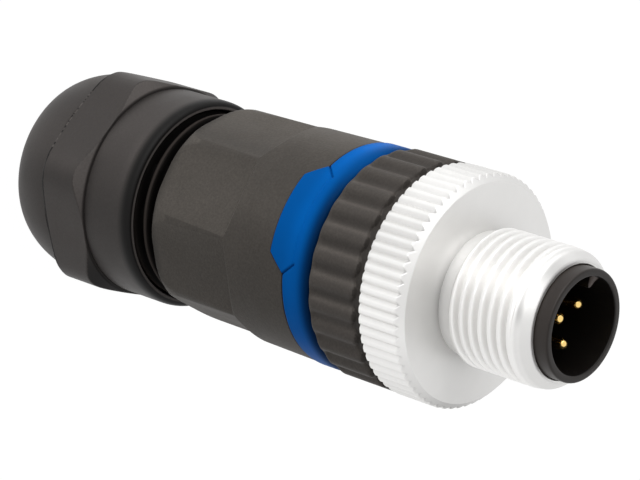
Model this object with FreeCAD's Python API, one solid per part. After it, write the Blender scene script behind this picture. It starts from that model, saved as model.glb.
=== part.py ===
import FreeCAD, Part
import math
import os

# Cable plug with an M12 coupling screw, five contacts and a cable gland.
# The axis is Z. Z = 0 is the flat rear end of the gland nut, the contacts face up,
# and the flag of the marking ring faces -Y. All sizes are in millimetres.

# Fits between pieces
RUN_CLEARANCE = 0.06
NUT_CLEARANCE = 0.08
SEAT_GAP = 0.10
POCKET_CLEARANCE = 0.06
FLAG_CLEARANCE = 0.12

# Lengths along the axis, from the cable end to the contacts
NUT_LENGTH = 16.9
NUT_STANDOFF = 2.6
HOUSING_LENGTH = 16.6
MARK_WIDTH = 2.8
GRIP_LENGTH = 5.8
FLANGE_LENGTH = 4.6
UNDERCUT_LENGTH = 1.6
THREAD_TIP_LENGTH = 1.0
SHROUD_REACH = 1.3

# Steps between the outer radii, which build up from the contacts outwards
MARK_WALL = 1.19
MARK_STEP = 0.18
FLANGE_PROUD = 0.02
HOUSING_STEP = 0.08
HOUSING_TAPER = 0.24
GRIP_COLLAR_STEP = 0.58

# Gland nut, outside
NUT_FOOT_R = 7.0
NUT_DOME_LENGTH = 6.15
NUT_DOME_STEP = 0.07
NUT_WALL = 0.97
NUT_FLAT_STEP = 0.2
NUT_CORNER_STEP = 0.9
NUT_CORNER_ANGLE = 45.0
NUT_REAR_BEVEL = 0.3
NUT_FRONT_BEVEL = 0.8
NUT_FACE_STEP = 0.3
NUT_HEX_LENGTH = 5.05
NUT_COLLAR_WIDTH = 0.5
NUT_COLLAR_TAPER = 0.9

# Gland nut, inside
ENTRY_R = 4.3
ENTRY_FLARE = 1.1
ENTRY_LENGTH = 2.0
CONE_START_STEP = 0.6
CONE_STEP = 0.46
CONE_LENGTH = 3.2
CONE_SEAT_LENGTH = 1.4
LIP_BEVEL = 0.35

# Housing, outside
HOUSING_REAR_WIDTH = 0.8
HOUSING_REAR_LENGTH = 1.9
FLATS_DEPTH = 0.58
FLATS_COUNT = 8
FLATS_LENGTH = 9.3
FLATS_RAMP = 0.8

# Housing neck and its thread
NECK_STANDOFF = 1.2
NECK_STEP = 1.08
NECK_THREAD_DEPTH = 0.7
NECK_PITCH = 1.5
NECK_CREST_LAND = 0.35
NECK_LEAD = 1.1
NECK_WALL = 1.0

# Cable clamping pieces
CAGE_BORE_STEP = 0.2
CAGE_LENGTH = 8.3
FINGER_COUNT = 10
FINGER_SLOT = 0.8
FINGER_SLOT_LENGTH = 5.6
SEAL_BORE_STEP = 0.1
SEAL_LENGTH = 6.4
SEAL_END_BEVEL = 0.8
PASSAGE_STEP = 1.5
PASSAGE_BEVEL = 0.8

# Wiring room and front thread of the housing
ROOM_OFFSET = 2.9
ROOM_BEVEL = 1.2
ROOM_STEP = 0.5
SPIGOT_RELIEF = 0.8
SPIGOT_LENGTH = 6.7
SPIGOT_WALL = 1.6
FRONT_THREAD_PITCH = 1.0
FRONT_THREAD_DEPTH = 0.35
FRONT_THREAD_LAND = 0.3

# Marking ring with its flag
MARK_ROUND = 0.2
MARK_FRONT_WIDTH = 0.5
MARK_FRONT_LENGTH = 1.2
FLAG_REACH = 1.6
FLAG_REAR_ANGLE = 21.0
FLAG_FRONT_ANGLE = 30.0
FLAG_THICKNESS = 0.75
LIP_WALL = 0.45

# Grip body
GRIP_RIB_DEPTH = 0.42
GRIP_RIB_CREST = 0.02
GRIP_REAR_GAP = 0.25
GRIP_RIB_COUNT = 29
GRIP_CORE_DEPTH = 0.3
GRIP_COLLAR_LENGTH = 0.7
GRIP_EDGE = 0.25
GRIP_WALL = 3.4
ORING_SECTION = 1.2
ORING_DEPTH = 0.8

# Coupling screw
FLANGE_TOOTH_DEPTH = 0.38
FLANGE_TOOTH_LAND = 0.1
FLANGE_TOOTH_COUNT = 67
FLANGE_EDGE_WIDTH = 0.65
FLANGE_EDGE_LENGTH = 0.6
FLANGE_REAR_BEVEL = 0.3
UNDERCUT_DEPTH = 0.62
THREAD_R = 6.0
THREAD_PITCH = 1.0
THREAD_DEPTH = 0.6
THREAD_CREST_LAND = 0.22
THREAD_CREST_COUNT = 7
THREAD_TIP_STEP = 0.1
THREAD_LEAD = 0.45
SCREW_WALL = 0.52
SCREW_MOUTH = 0.22
LEDGE_OFFSET = 0.4

# Contact carrier
SHROUD_WALL = 0.74
SHROUD_EDGE = 0.22
SHOULDER_STEP = 0.82
FLOOR_THICKNESS = 1.1
CARRIER_TAIL = 6.9
CARRIER_FLAT_DEPTH = 0.5
CARRIER_FLAT_LENGTH = 2.4
CARRIER_SEAL_SECTION = 0.6
CARRIER_SEAL_OFFSET = 1.7
KEY_ANGLE = 184.6
KEY_WIDTH = 1.1
KEY_HEIGHT = 0.53
KEY_SETBACK = 0.35

# Contacts
PIN_R = 0.5
PIN_CIRCLE_R = 2.5
PIN_RECESS = 2.2
OUTER_PIN_COUNT = 4
LINK_WIDTH = 1.2
LINK_HEIGHT = 1.2
LINK_OVERLAP = 0.6
CLAMP_CIRCLE_R = 4.4
CLAMP_SIZE = 2.6
CLAMP_INSET = 0.8
CLAMP_LENGTH = 6.8
WIRE_HOLE_R = 0.8
WIRE_HOLE_DEPTH = 4.6

# Terminal block, its cover and the terminal screws
BLOCK_LENGTH = 14.4
BLOCK_WALL = 0.84
COVER_THICKNESS = 1.4
COVER_FUNNEL = 0.5
COVER_PEG_R = 0.45
COVER_PEG_LENGTH = 1.2
COVER_PEG_CIRCLE_R = 5.3
LUG_HEIGHT = 0.35
LUG_WIDTH = 2.4
LUG_LENGTH = 1.5
LUG_OFFSET = 0.9
TERMINAL_OFFSET = 2.1
TERMINAL_R = 0.7
TERMINAL_FIT = 0.03
TERMINAL_BITE = 0.2
TERMINAL_RECESS = 0.15
SLOT_WIDTH = 0.3
SLOT_DEPTH = 0.4

# Places along the axis that follow from the lengths
HOUSING_REAR = NUT_LENGTH + NUT_STANDOFF
MARK_START = HOUSING_REAR + HOUSING_LENGTH + SEAT_GAP
MARK_END = MARK_START + MARK_WIDTH
GRIP_START = MARK_END + SEAT_GAP
GRIP_END = GRIP_START + GRIP_LENGTH
SCREW_REAR = GRIP_END + SEAT_GAP
FLANGE_FRONT = SCREW_REAR + FLANGE_LENGTH
UNDERCUT_END = FLANGE_FRONT + UNDERCUT_LENGTH
THREAD_END = UNDERCUT_END + THREAD_CREST_COUNT * THREAD_PITCH
SCREW_END = THREAD_END + THREAD_TIP_LENGTH
RIM = SCREW_END + SHROUD_REACH
NUT_HEX_END = NUT_DOME_LENGTH + NUT_HEX_LENGTH
CONE_END = ENTRY_LENGTH + CONE_LENGTH
CONE_SEAT_END = CONE_END + CONE_SEAT_LENGTH
NECK_START = CONE_SEAT_END + NECK_STANDOFF
CAGE_START = ENTRY_LENGTH + SEAT_GAP
CAGE_END = CAGE_START + CAGE_LENGTH
SEAL_START = CAGE_END + SEAT_GAP
SEAL_END = SEAL_START + SEAL_LENGTH
FLAG_REAR = MARK_START - FLAG_REACH
LIP_END = GRIP_START - ORING_SECTION - 2 * SEAT_GAP
SPIGOT_REAR = GRIP_START - SPIGOT_LENGTH
SPIGOT_THREAD_END = LIP_END - SEAT_GAP
ROOM_START = HOUSING_REAR + ROOM_OFFSET
LEDGE_END = UNDERCUT_END + LEDGE_OFFSET
CARRIER_SHOULDER = LEDGE_END + SEAT_GAP
FLOOR = CARRIER_SHOULDER + FLOOR_THICKNESS
CARRIER_REAR = GRIP_END - CARRIER_TAIL
CARRIER_SEAL_Z = GRIP_END - CARRIER_SEAL_OFFSET
PIN_TIP = RIM - PIN_RECESS
BLOCK_FRONT = GRIP_END - GRIP_WALL - SEAT_GAP
BLOCK_REAR = BLOCK_FRONT - BLOCK_LENGTH
CLAMP_REAR = BLOCK_REAR + CLAMP_INSET
CLAMP_FRONT = CLAMP_REAR + CLAMP_LENGTH
LINK_TOP = CLAMP_FRONT + LINK_HEIGHT
TERMINAL_Z = CLAMP_REAR + TERMINAL_OFFSET
LUG_Z = SPIGOT_REAR + LUG_OFFSET

# Radii that follow from the others, from the contacts outwards
BLOCK_R = CLAMP_CIRCLE_R + CLAMP_SIZE / 2 + BLOCK_WALL
SPIGOT_BORE_R = BLOCK_R + POCKET_CLEARANCE
FRONT_THREAD_R = SPIGOT_BORE_R + SPIGOT_WALL
ROOM_R = FRONT_THREAD_R - ROOM_STEP
ORING_FLOOR_R = FRONT_THREAD_R - ORING_DEPTH
HOUSING_THREAD_BORE = FRONT_THREAD_R + RUN_CLEARANCE
LIP_R = HOUSING_THREAD_BORE + LIP_WALL
MARK_BORE_R = LIP_R + SEAT_GAP
MARK_R = MARK_BORE_R + MARK_WALL
BODY_R = MARK_R + MARK_STEP
FLANGE_R = BODY_R + FLANGE_PROUD
GRIP_COLLAR_R = BODY_R - GRIP_COLLAR_STEP
HOUSING_FRONT_R = MARK_R - HOUSING_STEP
HOUSING_REAR_R = HOUSING_FRONT_R - HOUSING_TAPER
NECK_CREST_R = HOUSING_REAR_R - NECK_STEP
NECK_ROOT_R = NECK_CREST_R - NECK_THREAD_DEPTH
NECK_BORE_R = NECK_ROOT_R - NECK_WALL
PASSAGE_R = NECK_BORE_R - PASSAGE_STEP
NUT_BORE_R = NECK_CREST_R + NUT_CLEARANCE
NUT_COLLAR_R = NUT_BORE_R + NUT_WALL
NUT_FLAT_R = NUT_COLLAR_R + NUT_FLAT_STEP
NUT_CORNER_R = NUT_FLAT_R + NUT_CORNER_STEP
NUT_DOME_R = NUT_FLAT_R - NUT_DOME_STEP
CAGE_R = NECK_BORE_R - RUN_CLEARANCE
CAGE_BORE_R = ENTRY_R + CAGE_BORE_STEP
SEAL_BORE_R = ENTRY_R + SEAL_BORE_STEP
CONE_SMALL_R = ENTRY_R + CONE_START_STEP
CONE_LARGE_R = CAGE_R + CONE_STEP
SCREW_BORE_R = THREAD_R - THREAD_DEPTH - SCREW_WALL
SHROUD_R = SCREW_BORE_R - RUN_CLEARANCE
SHROUD_BORE_R = SHROUD_R - SHROUD_WALL
KEY_CREST_R = SHROUD_BORE_R - KEY_HEIGHT
CARRIER_R = SHROUD_R - SHOULDER_STEP
CARRIER_FLAT = CARRIER_R - CARRIER_FLAT_DEPTH
LEDGE_BORE_R = CARRIER_R + RUN_CLEARANCE
UNDERCUT_R = THREAD_R - UNDERCUT_DEPTH
FIRST_PIN_ANGLE = KEY_ANGLE - 180.0 / OUTER_PIN_COUNT
Z_AXIS = FreeCAD.Vector(0, 0, 1)
ORIGIN = FreeCAD.Vector(0, 0, 0)


def vec(radius, height):
    return FreeCAD.Vector(radius, 0, height)


def polar(radius, angle, height=0.0):
    turn = math.radians(angle)
    return FreeCAD.Vector(radius * math.cos(turn), radius * math.sin(turn), height)


def turned(points):
    """Solid turned about Z from a closed outline of (radius, height) points."""
    outline = Part.makePolygon([vec(r, z) for r, z in points + points[:1]])
    return Part.Face(outline).revolve(ORIGIN, Z_AXIS, 360)


def tube(outer, inner, low, high):
    return turned([(inner, low), (outer, low), (outer, high), (inner, high)])


def rod(radius, low, high, centre=(0.0, 0.0)):
    return Part.makeCylinder(radius, high - low, FreeCAD.Vector(centre[0], centre[1], low), Z_AXIS)


def prism(points, low, high):
    """Straight prism along Z over a closed outline of vectors."""
    outline = Part.makePolygon(points + points[:1])
    outline.translate(FreeCAD.Vector(0, 0, low))
    return Part.Face(outline).extrude(FreeCAD.Vector(0, 0, high - low))


def many_sided(apothem, sides, first_corner, low, high):
    corner_r = apothem / math.cos(math.pi / sides)
    corners = [polar(corner_r, first_corner + 360.0 * i / sides) for i in range(sides)]
    return prism(corners, low, high)


def arc_points(centre, radii, start, end, steps):
    """Points of an elliptical arc in the (radius, height) plane, ends included."""
    points = []
    for i in range(steps + 1):
        turn = math.radians(start + (end - start) * i / steps)
        points.append((centre[0] + radii[0] * math.cos(turn), centre[1] + radii[1] * math.sin(turn)))
    return points


def toothed(count, profile, low, high):
    """Prism whose outline repeats a tooth; the profile gives (share of pitch, radius)."""
    points = []
    for i in range(count):
        for share, radius in profile:
            points.append(polar(radius, 360.0 * (i + share) / count))
    return prism(points, low, high)


def box_at(angle, radial, width, low, high):
    """Block that spans two radii along one direction and a width across it."""
    block = Part.makeBox(radial[1] - radial[0], width, high - low)
    block.translate(FreeCAD.Vector(radial[0], -width / 2, low))
    block.rotate(ORIGIN, Z_AXIS, angle)
    return block


def radial_rod(angle, radius, inner, outer, height):
    direction = polar(1.0, angle)
    return Part.makeCylinder(radius, outer - inner, polar(inner, angle, height), direction)


def ring_of(section, radius, height):
    return turned(arc_points((radius, height), (section / 2, section / 2), 0, 330, 11))


def fused(shapes):
    whole = shapes[0]
    for shape in shapes[1:]:
        whole = whole.fuse(shape)
    return whole.removeSplitter()


def crest_points(first, pitch, count, crest_r, root_r, land):
    """Outline of a row of thread crests, from low to high."""
    flank = (pitch - land) * 0.38
    points = []
    for i in range(count):
        middle = first + pitch * i
        points.append((root_r, middle - land / 2 - flank))
        points.append((crest_r, middle - land / 2))
        points.append((crest_r, middle + land / 2))
        points.append((root_r, middle + land / 2 + flank))
    return points


def gland_nut():
    dome = arc_points((NUT_FOOT_R, NUT_DOME_LENGTH), (NUT_DOME_R - NUT_FOOT_R, NUT_DOME_LENGTH), -90, 0, 10)
    flare = arc_points((ENTRY_R + ENTRY_FLARE, ENTRY_FLARE), (ENTRY_FLARE, ENTRY_FLARE), 180, 270, 5)
    outside = dome + [
        (NUT_CORNER_R, NUT_DOME_LENGTH + NUT_REAR_BEVEL),
        (NUT_CORNER_R, NUT_HEX_END - NUT_FRONT_BEVEL),
        (NUT_FLAT_R + NUT_FACE_STEP, NUT_HEX_END)]
    bottom = turned(outside + [(0.0, NUT_HEX_END), (0.0, 0.0)])
    flats = many_sided(NUT_FLAT_R, 6, NUT_CORNER_ANGLE, 0.0, NUT_HEX_END)
    bottom = bottom.common(flats)
    collar_round = arc_points(
        (NUT_COLLAR_R - NUT_COLLAR_WIDTH, NUT_LENGTH - NUT_COLLAR_TAPER),
        (NUT_COLLAR_WIDTH, NUT_COLLAR_TAPER), 0, 90, 5)
    collar = turned([(0.0, NUT_HEX_END - NUT_FRONT_BEVEL), (NUT_COLLAR_R, NUT_HEX_END - NUT_FRONT_BEVEL)]
                    + collar_round + [(0.0, NUT_LENGTH)])
    flare_points = [(r, z) for r, z in reversed(flare)]
    cavity = turned([(0.0, 0.0)] + flare_points + [
        (ENTRY_R, ENTRY_LENGTH),
        (CONE_SMALL_R, ENTRY_LENGTH),
        (CONE_LARGE_R, CONE_END),
        (CONE_LARGE_R, CONE_SEAT_END),
        (NUT_BORE_R, CONE_SEAT_END),
        (NUT_BORE_R, NUT_LENGTH - LIP_BEVEL),
        (NUT_BORE_R + LIP_BEVEL, NUT_LENGTH),
        (0.0, NUT_LENGTH)])
    return fused([bottom, collar]).cut(cavity)


def clamp_cage():
    """Ring with fingers whose tips lie against the cone of the gland nut."""
    slope = (CONE_LARGE_R - CONE_SMALL_R) / CONE_LENGTH
    tip_r = CONE_SMALL_R + slope * SEAT_GAP - SEAT_GAP
    full = CAGE_START + (CAGE_R - tip_r) / slope
    body = turned([
        (CAGE_BORE_R, CAGE_START),
        (tip_r, CAGE_START),
        (CAGE_R, full),
        (CAGE_R, CAGE_END),
        (SEAL_BORE_R + SEAL_END_BEVEL, CAGE_END),
        (CAGE_BORE_R, CAGE_END - SEAL_END_BEVEL)])
    for i in range(FINGER_COUNT):
        angle = 360.0 * i / FINGER_COUNT
        slot_top = CAGE_START + FINGER_SLOT_LENGTH
        body = body.cut(box_at(angle, (CAGE_BORE_R - 1.0, CAGE_R + 1.0), FINGER_SLOT, 0.0, slot_top))
    return body


def gland_seal():
    outer = CAGE_R
    return turned([
        (SEAL_BORE_R, SEAL_START),
        (outer, SEAL_START),
        (outer, SEAL_END - SEAL_END_BEVEL),
        (outer - SEAL_END_BEVEL, SEAL_END),
        (SEAL_BORE_R, SEAL_END)])


def flag_prism(grow):
    """Outline of the flag, seen from -Y, drawn out from the axis."""
    rear = FLAG_REAR - grow
    rear_x = MARK_R * math.sin(math.radians(FLAG_REAR_ANGLE)) + grow * 0.5
    front_x = MARK_R * math.sin(math.radians(FLAG_FRONT_ANGLE)) + grow
    corners = [(-rear_x, rear), (rear_x, rear), (front_x, MARK_START), (front_x, MARK_START + 0.4),
               (-front_x, MARK_START + 0.4), (-front_x, MARK_START)]
    points = [FreeCAD.Vector(x, 0, z) for x, z in corners]
    face = Part.Face(Part.makePolygon(points + points[:1]))
    return face.extrude(FreeCAD.Vector(0, -MARK_R - 2.0, 0))


def colour_ring():
    rear_round = arc_points((MARK_R - MARK_ROUND, MARK_START + MARK_ROUND), (MARK_ROUND, MARK_ROUND), -90, 0, 5)
    front_round = arc_points((MARK_R - MARK_FRONT_WIDTH, MARK_END - MARK_FRONT_LENGTH),
                             (MARK_FRONT_WIDTH, MARK_FRONT_LENGTH), 0, 90, 6)
    ring = turned([(MARK_BORE_R, MARK_START)] + rear_round + front_round + [(MARK_BORE_R, MARK_END)])
    flag_band = tube(MARK_R, MARK_R - FLAG_THICKNESS, FLAG_REAR, MARK_START + MARK_ROUND)
    return fused([ring, flag_band.common(flag_prism(0.0))])


def housing():
    rear_round = arc_points(
        (HOUSING_REAR_R - HOUSING_REAR_WIDTH, HOUSING_REAR + HOUSING_REAR_LENGTH),
        (HOUSING_REAR_WIDTH, HOUSING_REAR_LENGTH), -90, 0, 6)
    turns = int((HOUSING_REAR - NECK_START - NECK_LEAD) / NECK_PITCH)
    thread = crest_points(NECK_START + NECK_LEAD, NECK_PITCH, turns, NECK_CREST_R, NECK_ROOT_R, NECK_CREST_LAND)
    body = turned([
        (NECK_BORE_R, NECK_START),
        (NECK_ROOT_R, NECK_START)] + thread + [
        (NECK_ROOT_R, HOUSING_REAR)] + rear_round + [
        (HOUSING_FRONT_R, FLAG_REAR),
        (HOUSING_FRONT_R, MARK_START - SEAT_GAP),
        (LIP_R, MARK_START - SEAT_GAP),
        (LIP_R, LIP_END),
        (HOUSING_THREAD_BORE, LIP_END),
        (HOUSING_THREAD_BORE, SPIGOT_REAR - SPIGOT_RELIEF),
        (ROOM_R, SPIGOT_REAR - SPIGOT_RELIEF),
        (ROOM_R, ROOM_START),
        (PASSAGE_R, ROOM_START - ROOM_BEVEL),
        (PASSAGE_R, SEAL_END + SEAT_GAP + PASSAGE_BEVEL),
        (NECK_BORE_R, SEAL_END + SEAT_GAP)])
    half = HOUSING_REAR_R - FLATS_DEPTH
    flats_end = HOUSING_REAR + FLATS_LENGTH
    ramp_end = flats_end + FLATS_RAMP
    grown = half + FLATS_RAMP
    first = 90.0 + 180.0 / FLATS_COUNT
    narrow = many_sided(half, FLATS_COUNT, first, NECK_START - 1.0, flats_end)
    wide = many_sided(grown, FLATS_COUNT, first, ramp_end, LIP_END + 1.0)
    scale_in = half / math.cos(math.pi / FLATS_COUNT)
    scale_out = grown / math.cos(math.pi / FLATS_COUNT)
    lower = [polar(scale_in, first + 360.0 * i / FLATS_COUNT, flats_end) for i in range(FLATS_COUNT)]
    upper = [polar(scale_out, first + 360.0 * i / FLATS_COUNT, ramp_end) for i in range(FLATS_COUNT)]
    ramp = Part.makeLoft([Part.makePolygon(lower + lower[:1]), Part.makePolygon(upper + upper[:1])], True)
    body = body.common(fused([narrow, ramp, wide]))
    recess_floor = MARK_R - FLAG_THICKNESS - SEAT_GAP
    recess = tube(HOUSING_FRONT_R + 1.0, recess_floor, FLAG_REAR - 1.0, MARK_START + 1.0)
    return body.cut(recess.common(flag_prism(FLAG_CLEARANCE)))


def housing_seal():
    return ring_of(ORING_SECTION, ORING_FLOOR_R + ORING_SECTION / 2, LIP_END + SEAT_GAP + ORING_SECTION / 2)


def grip_body():
    """Ribbed ring with a front wall for the carrier and a threaded spigot behind."""
    rib_end = GRIP_END - GRIP_COLLAR_LENGTH
    band_start = GRIP_START + GRIP_REAR_GAP
    core_r = BODY_R - GRIP_RIB_DEPTH - GRIP_CORE_DEPTH
    pitch = FRONT_THREAD_PITCH
    turns = int((SPIGOT_THREAD_END - SPIGOT_REAR) / pitch)
    root = FRONT_THREAD_R - FRONT_THREAD_DEPTH
    thread = crest_points(SPIGOT_REAR + pitch / 2, pitch, turns, FRONT_THREAD_R, root, FRONT_THREAD_LAND)
    core = turned([
        (SPIGOT_BORE_R, SPIGOT_REAR),
        (root, SPIGOT_REAR)] + thread + [
        (root, SPIGOT_THREAD_END),
        (ORING_FLOOR_R, SPIGOT_THREAD_END),
        (ORING_FLOOR_R, GRIP_START),
        (core_r, GRIP_START),
        (core_r, rib_end - 0.1),
        (GRIP_COLLAR_R, rib_end),
        (GRIP_COLLAR_R, GRIP_END),
        (CARRIER_R, GRIP_END),
        (CARRIER_R, GRIP_END - GRIP_WALL),
        (SPIGOT_BORE_R, GRIP_END - GRIP_WALL)])
    band = turned([
        (core_r - 0.4, band_start),
        (BODY_R - GRIP_EDGE, band_start),
        (BODY_R, band_start + GRIP_EDGE),
        (BODY_R, rib_end - GRIP_EDGE),
        (BODY_R - GRIP_EDGE * 1.3, rib_end),
        (core_r - 0.4, rib_end)])
    profile = []
    for i in range(8):
        share = -0.5 + i / 8.0
        wave = 0.5 - 0.5 * math.cos(2 * math.pi * share)
        radius = BODY_R + GRIP_RIB_CREST - GRIP_RIB_DEPTH * wave ** 1.3
        profile.append((share, radius))
    ribs = toothed(GRIP_RIB_COUNT, profile, GRIP_START - 1.0, rib_end + 1.0)
    body = fused([core, band.common(ribs)])
    window = LUG_LENGTH + 2 * POCKET_CLEARANCE
    for angle in (0.0, 180.0):
        low = LUG_Z - POCKET_CLEARANCE
        cutter = box_at(angle, (SPIGOT_BORE_R - 1.0, FRONT_THREAD_R + 1.0), LUG_WIDTH + 0.2, low, low + window)
        body = body.cut(cutter)
    return body


def coupling_screw():
    """Knurled flange with the M12 thread, turning freely on the contact carrier."""
    edge = arc_points((FLANGE_R - FLANGE_EDGE_WIDTH, FLANGE_FRONT - FLANGE_EDGE_LENGTH),
                      (FLANGE_EDGE_WIDTH, FLANGE_EDGE_LENGTH), 0, 90, 6)
    flange = turned([(0.0, SCREW_REAR), (FLANGE_R - FLANGE_REAR_BEVEL, SCREW_REAR),
                     (FLANGE_R, SCREW_REAR + FLANGE_REAR_BEVEL)] + edge + [(0.0, FLANGE_FRONT)])
    valley = FLANGE_R - FLANGE_TOOTH_DEPTH
    land = FLANGE_TOOTH_LAND / 2
    profile = [(-0.5, valley), (-land, FLANGE_R + 0.02), (land, FLANGE_R + 0.02)]
    flange = flange.common(toothed(FLANGE_TOOTH_COUNT, profile, SCREW_REAR - 1.0, FLANGE_FRONT + 1.0))
    root = THREAD_R - THREAD_DEPTH
    first = UNDERCUT_END + THREAD_PITCH * 0.5
    thread = crest_points(first, THREAD_PITCH, THREAD_CREST_COUNT, THREAD_R, root, THREAD_CREST_LAND)
    sleeve = turned([
        (0.0, SCREW_REAR + 1.0),
        (UNDERCUT_R, SCREW_REAR + 1.0),
        (UNDERCUT_R, UNDERCUT_END - 0.3)] + thread[:-1] + [
        (THREAD_R - THREAD_TIP_STEP, SCREW_END - THREAD_LEAD),
        (THREAD_R - THREAD_TIP_STEP - THREAD_LEAD, SCREW_END),
        (0.0, SCREW_END)])
    bore = turned([
        (0.0, SCREW_REAR - 1.0),
        (LEDGE_BORE_R, SCREW_REAR - 1.0),
        (LEDGE_BORE_R, LEDGE_END),
        (SCREW_BORE_R, LEDGE_END),
        (SCREW_BORE_R, SCREW_END - SCREW_MOUTH),
        (SCREW_BORE_R + SCREW_MOUTH, SCREW_END),
        (SCREW_BORE_R + SCREW_MOUTH, SCREW_END + 1.0),
        (0.0, SCREW_END + 1.0)])
    return fused([flange, sleeve]).cut(bore)


def pin_angles():
    return [FIRST_PIN_ANGLE + 360.0 * i / OUTER_PIN_COUNT for i in range(OUTER_PIN_COUNT)]


def contact_carrier():
    groove_floor = CARRIER_R - CARRIER_SEAL_SECTION
    half = CARRIER_SEAL_SECTION / 2 + 0.05
    shell = turned([
        (0.0, CARRIER_REAR),
        (CARRIER_R, CARRIER_REAR),
        (CARRIER_R, CARRIER_SEAL_Z - half),
        (groove_floor, CARRIER_SEAL_Z - half),
        (groove_floor, CARRIER_SEAL_Z + half),
        (CARRIER_R, CARRIER_SEAL_Z + half),
        (CARRIER_R, CARRIER_SHOULDER),
        (SHROUD_R, CARRIER_SHOULDER),
        (SHROUD_R, RIM - SHROUD_EDGE),
        (SHROUD_R - SHROUD_EDGE * 0.6, RIM - SHROUD_EDGE * 0.2),
        (SHROUD_R - SHROUD_EDGE, RIM),
        (SHROUD_BORE_R + SHROUD_EDGE * 0.6, RIM),
        (SHROUD_BORE_R, RIM - SHROUD_EDGE * 0.6),
        (SHROUD_BORE_R, FLOOR),
        (0.0, FLOOR)])
    ridge = box_at(KEY_ANGLE, (KEY_CREST_R, SHROUD_R - 0.3), KEY_WIDTH, FLOOR - 0.3, RIM - KEY_SETBACK)
    shell = fused([shell, ridge])
    flat = box_at(KEY_ANGLE, (CARRIER_FLAT, CARRIER_R + 1.0), CARRIER_R * 2, CARRIER_REAR - 1.0,
                  CARRIER_REAR + CARRIER_FLAT_LENGTH)
    shell = shell.cut(flat)
    shell = shell.cut(rod(PIN_R, CARRIER_REAR - 1.0, FLOOR + 1.0))
    for angle in pin_angles():
        centre = polar(PIN_CIRCLE_R, angle)
        shell = shell.cut(rod(PIN_R, CARRIER_REAR - 1.0, FLOOR + 1.0, (centre.x, centre.y)))
    return shell


def carrier_seal():
    return ring_of(CARRIER_SEAL_SECTION, CARRIER_R - CARRIER_SEAL_SECTION / 2, CARRIER_SEAL_Z)


def pin_solid(centre, low):
    tip = Part.makeSphere(PIN_R, FreeCAD.Vector(centre.x, centre.y, PIN_TIP - PIN_R))
    return fused([rod(PIN_R, low, PIN_TIP - PIN_R, (centre.x, centre.y)), tip])


def clamp_body(angle, middle, grow, rear):
    half = CLAMP_SIZE / 2 + grow
    return box_at(angle, (middle - half, middle + half), 2 * half, rear, CLAMP_FRONT + grow)


def outer_contact(angle):
    """Pin with an offset link to a clamp that takes the wire from behind."""
    centre = polar(PIN_CIRCLE_R, angle)
    link = box_at(angle, (PIN_CIRCLE_R - PIN_R, CLAMP_CIRCLE_R + LINK_OVERLAP), LINK_WIDTH, CLAMP_FRONT - 0.2, LINK_TOP)
    body = fused([clamp_body(angle, CLAMP_CIRCLE_R, 0.0, CLAMP_REAR), link, pin_solid(centre, CLAMP_FRONT)])
    wire = polar(CLAMP_CIRCLE_R, angle)
    body = body.cut(rod(WIRE_HOLE_R, CLAMP_REAR - 1.0, CLAMP_REAR + WIRE_HOLE_DEPTH, (wire.x, wire.y)))
    outer_face = CLAMP_CIRCLE_R + CLAMP_SIZE / 2
    return body.cut(radial_rod(angle, TERMINAL_R, CLAMP_CIRCLE_R, outer_face + 1.0, TERMINAL_Z))


def centre_contact(angle):
    body = fused([clamp_body(FIRST_PIN_ANGLE, 0.0, 0.0, CLAMP_REAR), pin_solid(ORIGIN, CLAMP_FRONT - 0.2)])
    body = body.cut(rod(WIRE_HOLE_R, CLAMP_REAR - 1.0, CLAMP_REAR + WIRE_HOLE_DEPTH))
    return body.cut(radial_rod(angle, TERMINAL_R, 0.0, CLAMP_SIZE + 1.0, TERMINAL_Z))


def terminal_screw(angle, tip_r):
    """Grub screw pointing at the axis, with a slot in its outer end."""
    head = BLOCK_R - TERMINAL_RECESS
    body = radial_rod(angle, TERMINAL_R - TERMINAL_FIT, tip_r, head, TERMINAL_Z)
    slot = box_at(angle, (head - SLOT_DEPTH, head + 1.0), SLOT_WIDTH, TERMINAL_Z - 1.0, TERMINAL_Z + 1.0)
    return body.cut(slot)


def centre_screw_angle():
    return FIRST_PIN_ANGLE + 180.0 / OUTER_PIN_COUNT


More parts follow.
